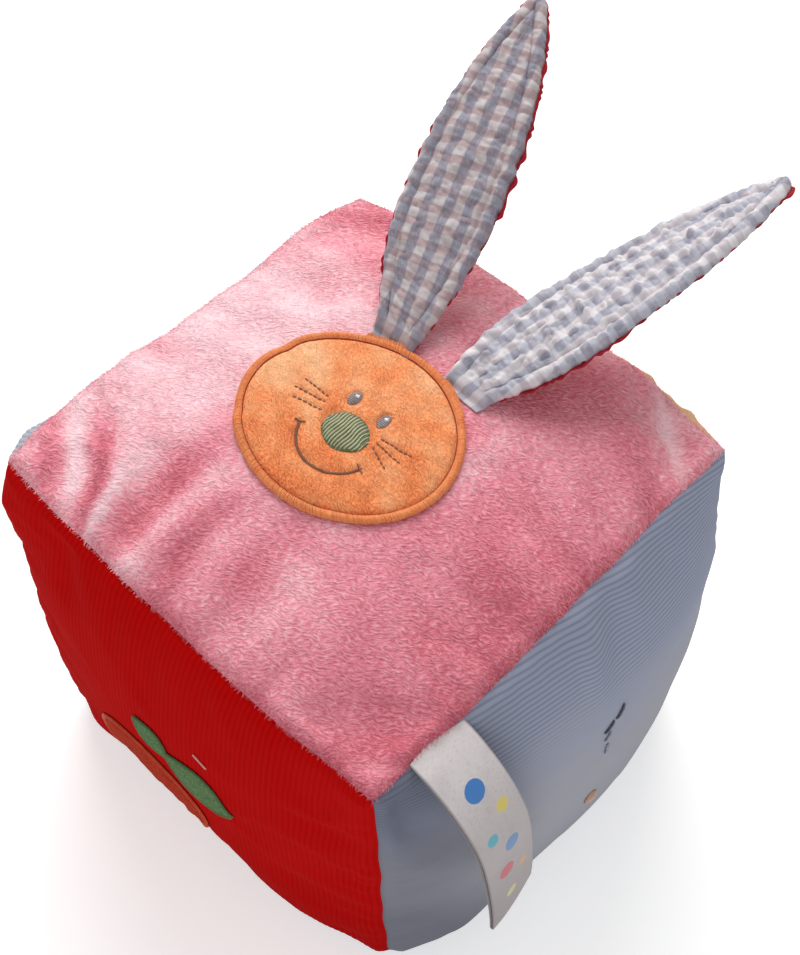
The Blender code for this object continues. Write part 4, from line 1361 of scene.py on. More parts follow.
@dataclass
class StuffedBlock:
    """The six sewn panels with their pile or ribs, the filling and the rattle."""

    form: StuffedForm
    sewing: Sewing
    velour_steps: int = 150
    rib_count: int = 81
    seam_allowance: float = 7 * MM
    seam_gap: float = 0.15 * MM
    filling_sink: float = 2.2 * MM
    surfaces: dict[Side, PanelSurface] = field(default_factory=dict)

    SMALL_FOLDS = {
        Side.TOP: folds(
            MM, (-0.59, -0.95, -0.78, -0.70, -1.5, 4.0), (-0.52, -0.93, -0.62, -0.68, 0.8, 3.5),
            (-0.40, -0.94, -0.45, -0.64, -0.9, 3.5), (-0.18, -0.94, -0.19, -0.72, -1.2, 4.5),
            (-0.09, -0.90, -0.04, -0.58, 0.9, 6.0), (-0.88, -0.84, -0.97, -0.60, -1.3, 4.0),
            (-0.66, 0.36, -0.50, 0.56, -1.0, 6.0), (-0.58, 0.30, -0.40, 0.52, 1.0, 7.0),
            (-1.0, 0.42, -0.86, 0.50, -1.4, 5.0), (0.72, 0.96, 0.96, 0.80, -1.0, 3.5),
            (0.36, -0.74, 0.60, -0.30, 0.8, 10)),
        Side.BLUE: folds(
            MM, (0.01, 0.96, -0.05, 0.62, -1.2, 4.0), (0.32, 0.98, 0.34, 0.74, 0.8, 5.0),
            (-0.97, 0.40, -0.75, 0.05, 0.8, 5.0), (0.55, 0.95, 0.60, 0.66, -0.7, 6.0)),
        Side.RED: folds(
            MM, (0.10, -0.10, 0.70, -0.30, -0.6, 12), (-0.95, 0.10, -0.60, 0.00, -0.7, 8.0)),
    }
    # Strokes of painted shade, where the strength is negative, and painted light, where it is positive, along the
    # top's folds and creases.
    PAINTED_FOLD_LIGHT = {
        Side.TOP: folds(
            1.0, (-0.42, -0.30, -0.43, -0.92, -0.55, 5.5), (-0.19, -0.50, -0.20, -0.78, -0.34, 4.5),
            (-0.20, -0.72, -0.13, -1.0, -0.38, 4.5), (0.05, -0.48, 0.07, -0.88, -0.28, 6.0),
            (-0.82, -0.60, -0.64, -0.78, -0.50, 4.5), (-0.66, -0.72, -0.57, -0.98, -0.62, 4.5),
            (-0.98, -0.74, -0.76, -0.98, -0.48, 4.0), (-0.97, -0.60, -0.84, -0.76, 0.28, 3.0),
            (-0.86, -0.72, -0.64, -0.98, 0.30, 3.0), (-0.74, -0.60, -0.57, -0.78, 0.28, 2.6),
            (-0.59, -0.72, -0.52, -1.0, 0.50, 2.4), (-0.32, -0.46, -0.33, -1.0, 0.14, 3.0),
            (0.22, -0.40, 0.24, -0.96, 0.18, 10), (0.37, 0.42, 0.41, 0.06, 0.30, 5.0),
            (0.48, 0.80, 1.0, 0.62, -0.15, 9.0), (0.45, 0.04, 1.0, -0.24, -0.13, 9.0),
            (0.60, 1.0, 0.95, 0.79, 0.34, 2.4), (0.46, 0.50, 0.92, 0.36, 0.10, 8.0),
            (0.80, -0.90, 1.0, -0.70, -0.20, 5.0), (0.84, -0.96, 1.0, -0.82, 0.25, 3.0),
            (-1.0, 0.82, -0.74, 0.94, -0.45, 5.0), (-0.84, 0.60, -0.44, 0.80, -0.20, 9.0),
            (-0.96, -0.20, -0.62, -0.12, -0.12, 7.0), (-0.64, 0.26, -0.48, 0.48, 0.15, 5.0),
            (0.40, 0.90, 0.40, 0.44, -0.12, 6.0)),
    }
    SEAM_PUCKERS = {Side.RED: (1.0, 1.0, 0.25, 0.3), Side.BLUE: (1.0, 1.0, 0.3, 0.25)}
    CALM = {Side.RED: 0.5, Side.BLUE: 0.3}

    def shape(self) -> None:
        """Simulates the skin and prepares the six surfaces."""
        wrinkles = SkinSimulation(self.form).wrinkles()
        for side in Side:
            self.surfaces[side] = PanelSurface(self.form, side, wrinkles[side], self.SMALL_FOLDS.get(side, ()),
                                               self.SEAM_PUCKERS.get(side, (1.0, 1.0, 1.0, 1.0)),
                                               calm=self.CALM.get(side, 1.0))

    def flange(self, side: Side, a: Array, b: Array, depth: float) -> Array:
        """Places on the seam allowance, which is turned straight in from the seam."""
        reach = 1 - (depth + self.seam_gap) / self.form.half
        return self.form.points(self.form.unit(side, a * reach, b * reach, depth / self.form.half), False)

    def panel(self, name: str, side: Side, steps: tuple[Array, Array], finish: object, uv: Array,
              relief: Array) -> Piece:
        """A panel's cloth, with its seam allowances turned in.

        Args:
            name: the piece's name.
            side: the panel.
            steps: its grid's places across, and up.
            finish: what it is made of.
            uv: the place on the flat cloth for each grid point, by row and column.
            relief: how far the cloth's own relief stands out.

        Returns:
            The panel.
        """
        a, b = np.meshgrid(*steps)
        points = self.surfaces[side].place(a, b, relief).reshape(-1, 3)
        rim = grid_rim(*a.shape)
        turned = self.flange(side, a.ravel()[rim], b.ravel()[rim], self.seam_allowance)
        inner = np.arange(len(rim)) + a.size
        walls = np.stack([rim, inner, np.roll(inner, -1), np.roll(rim, -1)], -1)
        if side.value.flip:
            walls = walls[:, ::-1]
        faces = grid_quads(*a.shape, side.value.flip).tolist() + walls.tolist()
        flat = uv.reshape(-1, 2)
        return new_piece(name, np.concatenate([points, turned]), faces, look(finish),
                         np.concatenate([flat, flat[rim]]))

    def velour_grid(self) -> tuple[Array, Array]:
        """Places across and up a velour panel, by row and column."""
        steps = np.linspace(-1, 1, self.velour_steps + 1)
        return np.meshgrid(steps, steps)

    def velour(self, name: str, side: Side, finish: Velour) -> Piece:
        """A velour panel.

        Args:
            name: the piece's name.
            side: the panel.
            finish: its velour.

        Returns:
            The panel.
        """
        a, b = self.velour_grid()
        uv = np.stack([a, b], -1) * self.form.half
        relief = Ripple(4.5 * MM, 0.10 * MM, 21).at(uv) * smooth(self.form.seam_distance(a, b) / (2 * MM))
        cloth = self.panel(name, side, (a[0], b[:, 0]), finish, uv, relief)
        # Paints light and shade into the pile's colour.
        paint(cloth, "painted_light_and_tone", self.painted_light_and_tone(side, a, b), 0.4)
        return cloth

    def painted_light_and_tone(self, side: Side, a: Array, b: Array) -> Array:
        """Painted light and shade on a panel's pile, with some uneven tone, from 0, deep, to 1, pale.

        Args:
            side: the panel.
            a: places across it, as shares of half the edge.
            b: places up it, likewise.

        Returns:
            One value a place.
        """
        half = self.form.half
        total = 0.50 + Ripple(22 * MM, 0.05, 55).at(np.stack([a, b], -1) * half)
        # On the top: painted light towards -X and along the +Y edge, painted shade towards +X low down and along
        # the red seam.
        if side is Side.TOP:
            total += (0.18 + 0.26 * bell(b, 0.55)) * (1 - smooth((a + 0.85) / 1.3)) - 0.08 * smooth((a + 0.4) / 0.9)
            total -= 0.22 * smooth((a - 0.45) / 0.5) * (1 - smooth(b / 0.6))
            total += 0.26 * smooth((b - 0.55) / 0.45) * smooth((a + 0.3) / 0.6)
            total -= 0.14 * bell((1 + b) * half, 3 * MM) * smooth((a + 0.5) / 0.3)
        # Painted light and shade along the folds.
        for fold in self.PAINTED_FOLD_LIGHT.get(side, ()):
            total += fold.lift(a, b, half)
        return np.clip(total, 0.02, 0.98)

    def painted_cord_light(self, side: Side, a: Array, b: Array) -> Array:
        """How much of a cord panel's colour painted shade leaves: on the red and blue sides darker low down, and on
        the blue side by its seams.

        Args:
            side: the panel.
            a: places across it, as shares of half the edge.
            b: places up it, likewise.

        Returns:
            One share a place.
        """
        # On the blue side: painted shade by the red seam, low down and under the top seam.
        if side is Side.BLUE:
            low = 0.54 * (1 - smooth((a + 1) / 0.75)) + 0.30 * (1 - smooth((b + 0.9) / 0.9))
            return np.clip(1 - low - 0.14 * bell(1 - b, 0.35), 0.35, 1)
        return 1 - (0.16 if side is Side.RED else 0.0) * (1 - smooth((b + 0.9) / 0.9))

    def cord(self, name: str, side: Side, finish: Needlecord, ribs: Ribs = Ribs()) -> Piece:
        """A needlecord panel with its ribs in relief.

        Args:
            name: the piece's name.
            side: the panel.
            finish: its needlecord.
            ribs: how its cord is cut.

        Returns:
            The panel.
        """
        fine = np.linspace(-1, 1, self.rib_count * ribs.samples + 1)
        coarse = np.linspace(-1, 1, ribs.along_steps + 1)
        steps = (fine, coarse) if ribs.upright else (coarse, fine)
        a, b = np.meshgrid(*steps)
        across, along = (a, b) if ribs.upright else (b + ribs.slant * a, a)
        phase = across * self.rib_count / 2
        ridge = domed(2 * (phase - np.floor(phase)) - 1)
        shown = smooth(self.form.seam_distance(a, b) / (2.5 * MM))
        shown = shown * smooth((across - ribs.fades[0]) / (ribs.fades[1] - ribs.fades[0]))
        uv = np.stack([(phase - 0.5) * finish.pitch, along * self.form.half], -1)
        cloth = self.panel(name, side, steps, finish, uv, ribs.height * (ridge - 0.6) * shown)
        # Paints shade into the cord's colour.
        paint(cloth, "painted_cord_light", self.painted_cord_light(side, a, b), 0.8)
        return cloth

    def nap(self, cloth: Piece, name: str, side: Side, density: float, way: tuple[float, float, float],
            share: float, reach: float = 7 * MM, **sizes: float) -> Piece:
        """The fibres that stand on a velour panel, thickest along its seams.

        Args:
            cloth: the panel.
            name: the new piece's name.
            side: the panel's side.
            density: fibres a square metre where they are thickest.
            way: the way that they lean.
            share: how many stand away from the seams, as a share.
            reach: how far from the seams they thin out.
            sizes: other inputs of the pile tree.

        Returns:
            The fibres.
        """
        a, b = self.velour_grid()
        source = new_piece(name + "_ground", corner_places(cloth)[:a.size],
                           grid_quads(*a.shape, side.value.flip).tolist())
        paint(source, "pile", share + (1 - share) * (1 - smooth(self.form.seam_distance(a, b) / reach)))
        # The fibres carry the same painted light and shade, a little paler.
        paint(source, "painted_light_and_tone", np.clip(self.painted_light_and_tone(side, a, b) + 0.12, 0, 1))
        return self.sewing.run(self.sewing.pile, source, name, Density=density, Nap=way,
                               Finish=cloth.data.materials[0], **sizes)

    def filling(self, node: str, name: str) -> Piece:
        """The fibre filling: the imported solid's own form, remeshed and roughened.

        Args:
            node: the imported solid.
            name: the new piece's name.

        Returns:
            The filling.
        """
        wad = link(name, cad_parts[node].data.copy())
        wad.data.materials.clear()
        wad.data.materials.append(look(FIBRE))
        remesh = wad.modifiers.new("fibre", "REMESH")
        remesh.mode = "VOXEL"
        remesh.voxel_size = 4 * MM
        wad = as_plain_mesh(wad, name)
        places = corner_places(wad)
        normal = np.array([v.normal for v in wad.data.vertices])
        tufts = Ripple(11 * MM, 0.5 * MM, 90).at(places) - self.filling_sink
        wad.data.vertices.foreach_set("co", (places + normal * tufts[:, None]).astype(np.float32).ravel())
        wad.data.shade_smooth()
        return wad

    def build(self) -> None:
        """Makes and dresses the panels, the filling and the rattle."""
        blue_ribs = Ribs(False, 0.21, 0.12 * MM, 6, 126, (0.34, 0.68))
        top = self.velour("top_velour", Side.TOP, PINK_VELOUR)
        peach = self.velour("peach_velour", Side.PEACH, PEACH_VELOUR)
        panels = (
            (top, "top_panel", "pink_velour"), (peach, "peach_side_panel", "peach_velour"),
            (self.cord("red_cord", Side.RED, RED_CORD, Ribs(height=0.12 * MM, samples=6)),
             "red_side_panel", "red_needlecord"),
            (self.cord("blue_cord", Side.BLUE, BLUE_CORD, blue_ribs), "blue_side_panel", "blue_needlecord"),
            (self.cord("grey_cord", Side.GREY, GREY_CORD), "grey_side_panel", "grey_needlecord"),
            (self.cord("base_cord", Side.BASE, BLUE_CORD), "base_panel", "blue_needlecord"))
        dress(self.nap(top, "top_nap", Side.TOP, 3.0e6, (0.1, -1.0, 0.0), 0.22), "pink_velour")
        dress(self.nap(top, "top_tufts", Side.TOP, 3.2e6, (0.1, -0.8, -0.3), 0.0, 4 * MM,
                       Length=1.6 * MM, Width=0.30 * MM, Spread=0.8), "pink_velour")
        dress(self.nap(peach, "peach_nap", Side.PEACH, 2.0e6, (0.0, 0.0, -1.0), 0.12), "peach_velour")
        for cloth, node, slot in panels:
            dress(cloth, slot, node)
        for node, name in (("stuffing_upper", "upper_filling"), ("stuffing_lower", "lower_filling")):
            wad = self.filling(node, name)
            dress(wad, "stuffing_fibre", node)
        for node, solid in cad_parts.items():
            if node.startswith("rattle_"):
                solid.data.materials.clear()
                solid.data.materials.append(look(BEAD_PLASTIC if "bead" in node else RATTLE_PLASTIC))


@dataclass
class RabbitFace:
    """The oval face patch: its pile, satin border, and embroidered nose, eyes, mouth and whiskers."""

    surface: PanelSurface
    sewing: Sewing
    half_size: Spot = (36.0 * MM, 30.4 * MM)
    offset: Spot = (-7.2 * MM, 0.0)
    border_width: float = 2.6 * MM
    border_height: float = 1.9 * MM
    ear_cover: float = 2.3 * MM
    border_count: int = 520
    gap: float = 0.3 * MM
    patch_height: float = 1.7 * MM
    patch_dome: float = 0.8 * MM
    rings: int = 46
    segments: int = 200
    nose_share: Spot = (0.065, -0.12)
    nose_size: Spot = (15 * MM, 12.4 * MM)
    nose_threads: int = 15
    eye_size: Spot = (3.6 * MM, 5.0 * MM)
    eye_shares: tuple[Spot, Spot] = ((-0.113, 0.216), (0.218, 0.209))
    mouth_share: Spot = (0.057, -0.195)
    mouth_radii: Spot = (0.350, 0.391)
    mouth_turn: Spot = (198, 342)
    mouth_line: float = 0.6 * MM
    left_whiskers: tuple = (((-0.235, -0.100), (-0.477, -0.156)), ((-0.268, -0.008), (-0.538, -0.064)),
                            ((-0.293, 0.061), (-0.527, 0.061)))
    right_whiskers: tuple = (((0.338, -0.077), (0.519, -0.156)), ((0.338, -0.015), (0.566, -0.024)),
                             ((0.332, 0.048), (0.594, 0.098)))
    ear_shares: tuple[float, float] = (-0.336, 0.485)

    def spot(self, share: Spot) -> Array:
        """A place on the top panel, by shares of the face's half width and half length."""
        return np.array(self.offset) + np.array(share) * np.array(self.half_size)

    def oval(self, turn: Array, inset: Array | float, share: Array | float = 1.0) -> tuple[Array, Array]:
        """Places on the face's outline, or inside it by an inset and a share of what is left."""
        return tuple(middle + share * (half - inset) * way
                     for middle, half, way in zip(self.offset, self.half_size, (np.cos(turn), np.sin(turn))))

    def sunk(self, x: Array, y: Array) -> Array:
        """How far the stitching draws the patch down round each feature.

        Args:
            x: places across the top panel, in metres from its middle.
            y: places up it, likewise.

        Returns:
            One depth a place.
        """
        depth = np.zeros(np.shape(x))
        ovals = [(self.nose_share, self.nose_size, 0.7 * MM, 0.5)]
        ovals += [(share, self.eye_size, 0.8 * MM, 0.7) for share in self.eye_shares]
        for share, size, deep, soft in ovals:
            middle = self.spot(share)
            away = np.hypot((x - middle[0]) / size[0] * 2, (y - middle[1]) / size[1] * 2)
            depth = np.maximum(depth, deep * (1 - smooth((away - 0.9) / soft)))
        lines = [(self.mouth_path(), 0.8 * MM, 1.3 * MM)]
        for whisker in self.left_whiskers + self.right_whiskers:
            ends = self.spot(whisker[0]), self.spot(whisker[1])
            lines.append((np.linspace(*ends, 9), 0.45 * MM, 0.8 * MM))
        for path, deep, width in lines:
            away = np.full(np.shape(x), 1.0)
            for spot in path:
                away = np.minimum(away, np.hypot(x - spot[0], y - spot[1]))
            depth = np.maximum(depth, deep * bell(away, width))
        return depth

    def mouth_path(self) -> Array:
        """The smile's line on the top panel.

        Returns:
            Pairs of distances from the panel's middle.
        """
        ways = circle(np.radians(np.linspace(*self.mouth_turn, 40)))
        return self.spot(self.mouth_share) + ways * self.mouth_radii * np.array(self.half_size)

    def height(self, x: Array, y: Array) -> Array:
        """How high the patch's pile stands over the panel.

        Args:
            x: places across the top panel, in metres from its middle.
            y: places up it, likewise.

        Returns:
            One height a place.
        """
        inner = [half - self.border_width for half in self.half_size]
        share = np.hypot((x - self.offset[0]) / inner[0], (y - self.offset[1]) / inner[1])
        soft = domed(1 - np.clip((1 - share) * inner[1] / (1.6 * MM), 0, 1))
        half = self.surface.form.half
        lumps = Ripple(7 * MM, 0.12 * MM, 33).at(np.stack([x, y], -1))
        crease = Fold((0.10, 0.30), (0.24, 0.22), -0.8 * MM, 4.0 * MM).lift(x / half, y / half, half)
        puff = Fold((0.20, 0.24), (0.30, 0.10), 0.9 * MM, 6.5 * MM).lift(x / half, y / half, half)
        top = self.patch_height + self.patch_dome * (1 - share ** 2) + lumps - self.sunk(x, y) + crease + puff
        return self.gap + (top - self.gap) * (0.15 + 0.85 * soft)

    def patch_places(self) -> tuple[Array, Array]:
        """Places across and up the patch: its middle, then rings outwards."""
        shares = np.linspace(0, 1, self.rings + 1)[1:, None]
        ways = self.oval(round_turns(self.segments), self.border_width + 0.1 * MM, shares)
        return tuple(np.concatenate([[middle], way.ravel()]) for middle, way in zip(self.offset, ways))

    def patch(self) -> Piece:
        """The velour disc.

        Returns:
            The patch.
        """
        x, y = self.patch_places()
        points = self.surface.at(x, y, self.height(x, y))
        cloth = new_piece("face_velour", points, disc_faces(self.rings, self.segments), look(ORANGE_VELOUR),
                          np.stack([x, y], -1))
        # Paints light and shade into the patch's colour.
        paint(cloth, "painted_light_and_tone", self.painted_light_and_tone(x, y))
        return cloth

    def painted_light_and_tone(self, x: Array, y: Array) -> Array:
        """Painted light and shade on the patch's pile, with some uneven tone, from 0, deep, to 1, pale.

        Args:
            x: places across the top panel, in metres from its middle.
            y: places up it, likewise.

        Returns:
            One value a place.
        """
        across, up = ((way - middle) / half for way, middle, half in zip((x, y), self.offset, self.half_size))
        # Painted light at the left side and the top; painted shade in a crease, low down and round the embroidery.
        left = bell(np.hypot(across + 0.80, up - 0.15), 0.42)
        brow = bell(np.hypot(across - 0.10, up - 0.80), 0.38)
        crease = Fold((-0.13, 0.38), (-0.12, 0.24), -0.22, 3.5 * MM).lift(
            x / self.surface.form.half, y / self.surface.form.half, self.surface.form.half)
        uneven = Ripple(14 * MM, 0.07, 44).at(np.stack([x, y], -1))
        total = 0.50 + 0.40 * left + 0.20 * brow + crease + uneven - 0.16 * smooth(-up - 0.1) * smooth(across + 1)
        return np.clip(total - 0.15 * self.sunk(x, y) / (0.8 * MM), 0.02, 0.98)

    def over_ear(self, turn: float) -> float:
        """How fully a turn round the face lies under an ear's root.

        Args:
            turn: the turn, in radians.

        Returns:
            A share from 0 to 1.
        """
        across = self.oval(turn, 0.0)[0] - self.offset[0]
        places = [share * self.half_size[0] for share in self.ear_shares]
        near = max(bell(across - place, 6.5 * MM) for place in places)
        return float(smooth((near - 0.3) / 0.2)) if math.sin(turn) > 0 else 0.0

    def band(self, share: Array, turn: Array, lift: float, raised: float = 0.0) -> Array:
        """Places over the border.

        Args:
            share: places across it, from -1 inside to 1 outside, or further out over an ear's root.
            turn: turns round the face.
            lift: how far over its own surface.
            raised: how much of an ear's root lies under it.

        Returns:
            One real place for each.
        """
        x, y = self.oval(turn, self.border_width * (1 - share) / 2)
        rise = self.border_height * domed(share, 0.86)
        over = smooth((share - 0.3) / 0.7) * raised
        return self.surface.at(x, y, rise * (1 - over) + self.ear_cover * over + lift)

    def border_core(self) -> Piece:
        """The raised core of the border, dark as painted shade in the groove and between its threads.

        Returns:
            The core.
        """
        turns = round_turns(180)
        share, turn = np.meshgrid(np.linspace(-1, 1, 9), turns)
        points = self.band(share, turn, -0.15 * MM)
        feet = [self.surface.at(*self.oval(turns, inset), 0.1 * MM)[:, None] for inset in (0.0, self.border_width)]
        ring = np.concatenate([points, *feet], axis=1)
        number = np.arange(ring[..., 0].size).reshape(ring.shape[:2])
        following = np.roll(number, -1, axis=0)
        quads = np.stack([number, following, np.roll(following, -1, 1), np.roll(number, -1, 1)], -1)
        core = new_piece("face_border_core", ring.reshape(-1, 3), quads.reshape(-1, 4).tolist(), look(BORDER_SHADE))
        turn_outwards(core)
        return core

    def border_threads(self) -> Piece:
        """The lighter satin threads laid over the core.

        Returns:
            The threads.
        """
        paths = []
        dice = np.random.default_rng(5)
        for i in range(self.border_count):
            turn = TURN * (i + dice.uniform(-0.2, 0.2)) / self.border_count
            raised = self.over_ear(turn)
            share = np.linspace(-0.82, 0.92 + dice.uniform(-0.04, 0.08) + raised * dice.uniform(0.0, 0.2), 7)
            paths.append(self.band(share, turn + 0.012 * share, 0.05 * MM, raised))
        return self.sewing.threads("face_border_threads", paths, 0.2 * MM, BORDER_THREAD, 5)

    def nose(self) -> tuple[Piece, Piece]:
        """Light threads laid from chin to brow over a dome of dark copies, which are painted shade between them.

        Returns:
            The light threads and the dark painted-shade ones.
        """
        oval = (self.surface, self.spot(self.nose_share), self.nose_size)
        over = satin_oval(*oval, self.nose_threads, 1.2 * MM, self.height, waver=0.22 * MM)
        under = satin_oval(*oval, 26, 0.8 * MM, self.height)
        return (self.sewing.threads("nose_threads", over, 0.30 * MM, NOSE_THREAD),
                self.sewing.threads("nose_painted_shade_threads", under, 0.38 * MM, NOSE_SHADE))

    def eye(self, name: str, share: Spot) -> tuple[Piece, Piece]:
        """A small oval of satin stitch with a white knot, which is a painted glint.

        Args:
            name: the eye's name.
            share: its place, by shares of the face's half width and half length.

        Returns:
            The oval and the knot.
        """
        middle = self.spot(share)
        paths = satin_oval(self.surface, middle, self.eye_size, 9, 0.55 * MM, self.height, upright=False)
        oval = self.sewing.threads(f"{name}_threads", paths, 0.3 * MM, EYE_THREAD)
        # The white knot is a painted glint.
        x, y = (middle + np.array([(-0.1, 0.5), (0.9, 0.9)]) * MM).T
        knot = [self.surface.at(x, y, self.height(x, y) + 0.85 * MM)]
        return oval, self.sewing.threads(f"{name}_glint", knot, 0.5 * MM, GLINT_THREAD, 8)

    def mouth(self) -> Piece:
        """The smile: a corded line of satin stitch with a tick at each end.

        Returns:
            The threads.
        """
        line = self.mouth_path()
        paths = []
        t = np.linspace(-1, 1, 4)
        for spot in np.linspace(0, len(line) - 1.001, 74):
            i = int(spot)
            step = line[i + 1] - line[i]
            along = headings(step)
            across = np.outer(t, (-along[1], along[0])) * self.mouth_line / 2
            paths.append((line[i] + step * (spot - i) + across + 0.25 * MM * along, 0.3 * MM * (1 - t ** 2)))
        for end, near in ((line[0], line[1]), (line[-1], line[-2])):
            inward = headings(near - end)
            tick = end + np.outer(np.linspace(-1, 1, 5), (-inward[1], inward[0])) * 1.6 * MM
            paths.append((tick, 0.3 * MM))
        placed = [self.surface.over(path, self.height(*path.T) + rise) for path, rise in paths]
        return self.sewing.threads("mouth_threads", placed, 0.24 * MM, LINE_THREAD, 5)

    def whisker(self, name: str, share: tuple[Spot, Spot]) -> Piece:
        """One whisker of small running stitches.

        Args:
            name: its name.
            share: its two ends, by shares of the face's half width and half length.

        Returns:
            The stitches.
        """
        x, y = np.linspace(self.spot(share[0]), self.spot(share[1]), 24).T
        placed = [self.surface.at(x, y, self.height(x, y) + 0.12 * MM)]
        return self.sewing.stitches(name, placed, 1.6 * MM, 1.45 * MM, 0.3 * MM, LINE_THREAD)

    def fibres(self, cloth: Piece) -> Piece:
        """The patch's own short pile, away from the embroidery.

        Args:
            cloth: the patch.

        Returns:
            The fibres.
        """
        ground = new_piece("face_nap_ground", corner_places(cloth), disc_faces(self.rings, self.segments))
        x, y = self.patch_places()
        paint(ground, "pile", 1 - smooth(self.sunk(x, y) / (0.3 * MM)))
        # The fibres carry the same painted light and shade, a little paler.
        paint(ground, "painted_light_and_tone", np.clip(self.painted_light_and_tone(x, y) + 0.06, 0, 1))
        return self.sewing.run(self.sewing.pile, ground, "face_nap", Density=1.4e6, Length=0.8 * MM,
                               Nap=(0.3, -1.0, 0.0), Finish=cloth.data.materials[0])

    def build(self) -> None:
        """Makes and dresses the whole face."""
        cloth = self.patch()
        dress(cloth, "orange_velour", "face_patch")
        dress(self.fibres(cloth), "orange_velour")
        dress(self.border_core(), "border_thread", "face_border")
        dress(self.border_threads(), "border_thread")
        over, under = self.nose()
        dress(under, "nose_thread", "nose")
        dress(over, "nose_thread")
        for name, share in zip(("left_eye", "right_eye"), self.eye_shares):
            oval, glint = self.eye(name, share)
            dress(oval, "eye_thread", name)
            dress(glint, "eye_thread")
        dress(self.mouth(), "line_thread", "mouth")
        for name, shares in (("left_whisker", self.left_whiskers), ("right_whisker", self.right_whiskers)):
            for number, share in enumerate(shares, 1):
                dress(self.whisker(f"{name}_{number}_stitches", share), "line_thread", f"{name}_{number}")


